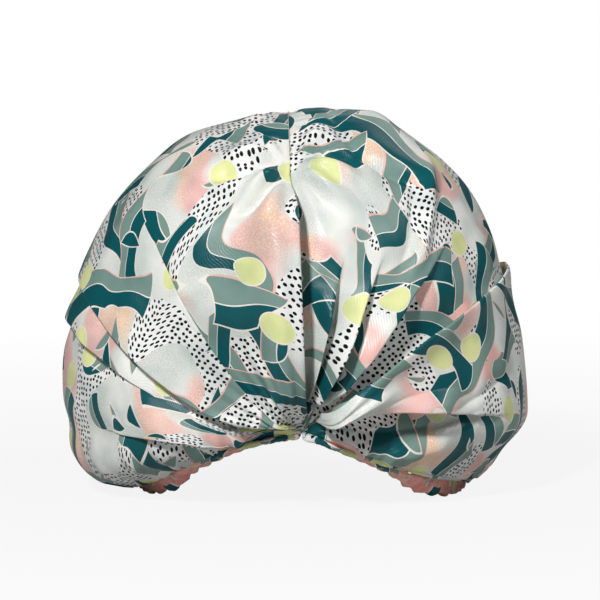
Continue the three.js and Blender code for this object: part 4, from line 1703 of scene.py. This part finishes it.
class CAP_OT_studio(Operator):
    """Camera, white floor and soft lamps"""

    bl_idname = "cap.studio"
    bl_label = "Studio"

    def execute(self, context):
        studio = context.scene.cap_studio
        context.scene.view_settings.view_transform = "Standard"
        self.camera(context, studio)
        self.floor(studio)
        for name, place, size in LAMPS:
            self.lamp(name, place, size, getattr(studio, name))
        self.sky(context, studio)
        return {"FINISHED"}

    def camera(self, context, studio):
        """Long lens, aimed so that the knot lies at its place in the picture."""
        forward = Vector((0, math.cos(studio.elevation), -math.sin(studio.elevation)))
        right = Vector((1, 0, 0))
        up = right.cross(forward)
        spread = SENSOR / studio.lens / PICTURE_POINTS
        distance = studio.picture_scale / spread
        knot = KNOT - CENTRE
        knot_scale = (distance + knot.dot(forward)) * spread
        offset_right = studio.knot_right - PICTURE_POINTS / 2
        offset_down = studio.knot_down - PICTURE_POINTS / 2
        aim = CENTRE + right * (knot.dot(right) - offset_right * knot_scale)
        aim = aim + up * (knot.dot(up) + offset_down * knot_scale)
        data = bpy.data.cameras.new("camera")
        data.lens = studio.lens
        data.sensor_width = SENSOR
        data.clip_end = FAR_CLIP
        camera = bpy.data.objects.new("camera", data)
        camera.location = aim - forward * distance
        camera.rotation_euler = forward.to_track_quat("-Z", "Y").to_euler()
        context.collection.objects.link(camera)
        context.scene.camera = camera

    def floor(self, studio):
        net = bmesh.new()
        bmesh.ops.create_grid(net, x_segments=1, y_segments=1, size=studio.floor_size / 2)
        piece = mesh_piece("floor", net)
        material, tree, shader = new_material("white paper", *PAPER_SHINE)
        shader.inputs["Base Color"].default_value = FLOOR_TINT
        seen = add_node(tree, "ShaderNodeLightPath").outputs["Is Camera Ray"]
        glow = add_node(tree, "ShaderNodeEmission", {"Color": WHITE, "Strength": 1.0})
        place = add_node(tree, "ShaderNodeTexCoord").outputs["Object"]
        away = add_node(tree, "ShaderNodeVectorMath", {0: place}, operation="LENGTH").outputs["Value"]
        far = ramp(tree, away, *SHADOW_REACH)
        share = calculate(tree, "MULTIPLY_ADD", far, 1 - SHADOW_GLOW, SHADOW_GLOW)
        share = calculate(tree, "MULTIPLY", seen, share)
        blend = add_node(tree, "ShaderNodeMixShader", {0: share, 1: shader.outputs[0], 2: glow.outputs[0]})
        tree.links.new(blend.outputs[0], tree.nodes["Material Output"].inputs["Surface"])
        piece.data.materials.append(material)

    def lamp(self, name, place, size, power):
        data = bpy.data.lights.new(name, "AREA")
        data.size = size
        data.energy = power
        lamp = bpy.data.objects.new(name, data)
        lamp.location = place
        lamp.rotation_euler = (CENTRE - lamp.location).to_track_quat("-Z", "Y").to_euler()
        bpy.context.collection.objects.link(lamp)

    def sky(self, context, studio):
        world = bpy.data.worlds.new("studio")
        world.use_nodes = True
        tree = world.node_tree
        path = add_node(tree, "ShaderNodeLightPath").outputs
        light = tree.nodes["Background"]
        light.inputs["Color"].default_value = WHITE
        light.inputs["Strength"].default_value = studio.sky
        white = add_node(tree, "ShaderNodeBackground", {"Color": WHITE, "Strength": 1.0})
        seen = calculate(tree, "MAXIMUM", path["Is Camera Ray"], path["Is Transmission Ray"])
        blend = add_node(tree, "ShaderNodeMixShader", {0: seen, 1: light.outputs[0], 2: white.outputs[0]})
        tree.links.new(blend.outputs[0], tree.nodes["World Output"].inputs["Surface"])
        context.scene.world = world


class CAP_PT_panel(Panel):
    """Buttons and sizes of the shower cap"""

    bl_idname = "CAP_PT_panel"
    bl_label = "Shower cap"
    bl_space_type = "VIEW_3D"
    bl_region_type = "UI"
    bl_category = "Shower cap"

    def draw(self, context):
        for operator in OPERATORS:
            self.layout.operator(operator.bl_idname)
        for name in SETTINGS:
            group = getattr(context.scene, name)
            box = self.layout.box()
            for key in group.__annotations__:
                box.prop(group, key)


OPERATORS = (
    CAP_OT_studio,
    CAP_OT_satin_halves,
    CAP_OT_linings,
    CAP_OT_hem_casings,
    CAP_OT_elastics,
    CAP_OT_stitches,
    CAP_OT_tacks,
)
SETTINGS = {
    "cap_dome": CapDome,
    "cap_folds": SatinFolds,
    "cap_hem": HemSizes,
    "cap_lining": LiningSizes,
    "cap_colours": CapColours,
    "cap_studio": StudioSettings,
}
CLASSES = (*SETTINGS.values(), *OPERATORS, CAP_PT_panel)


def register():
    for item in CLASSES:
        bpy.utils.register_class(item)
    for name, group in SETTINGS.items():
        setattr(bpy.types.Scene, name, PointerProperty(type=group))


def unregister():
    for name in SETTINGS:
        delattr(bpy.types.Scene, name)
    for item in reversed(CLASSES):
        bpy.utils.unregister_class(item)


def main():
    register()
    bpy.ops.cap.studio()
    bpy.ops.cap.satin_halves()
    bpy.ops.cap.linings()
    bpy.ops.cap.hem_casings()
    bpy.ops.cap.elastics()
    bpy.ops.cap.stitches()
    bpy.ops.cap.tacks()


if __name__ == "__main__":
    main()
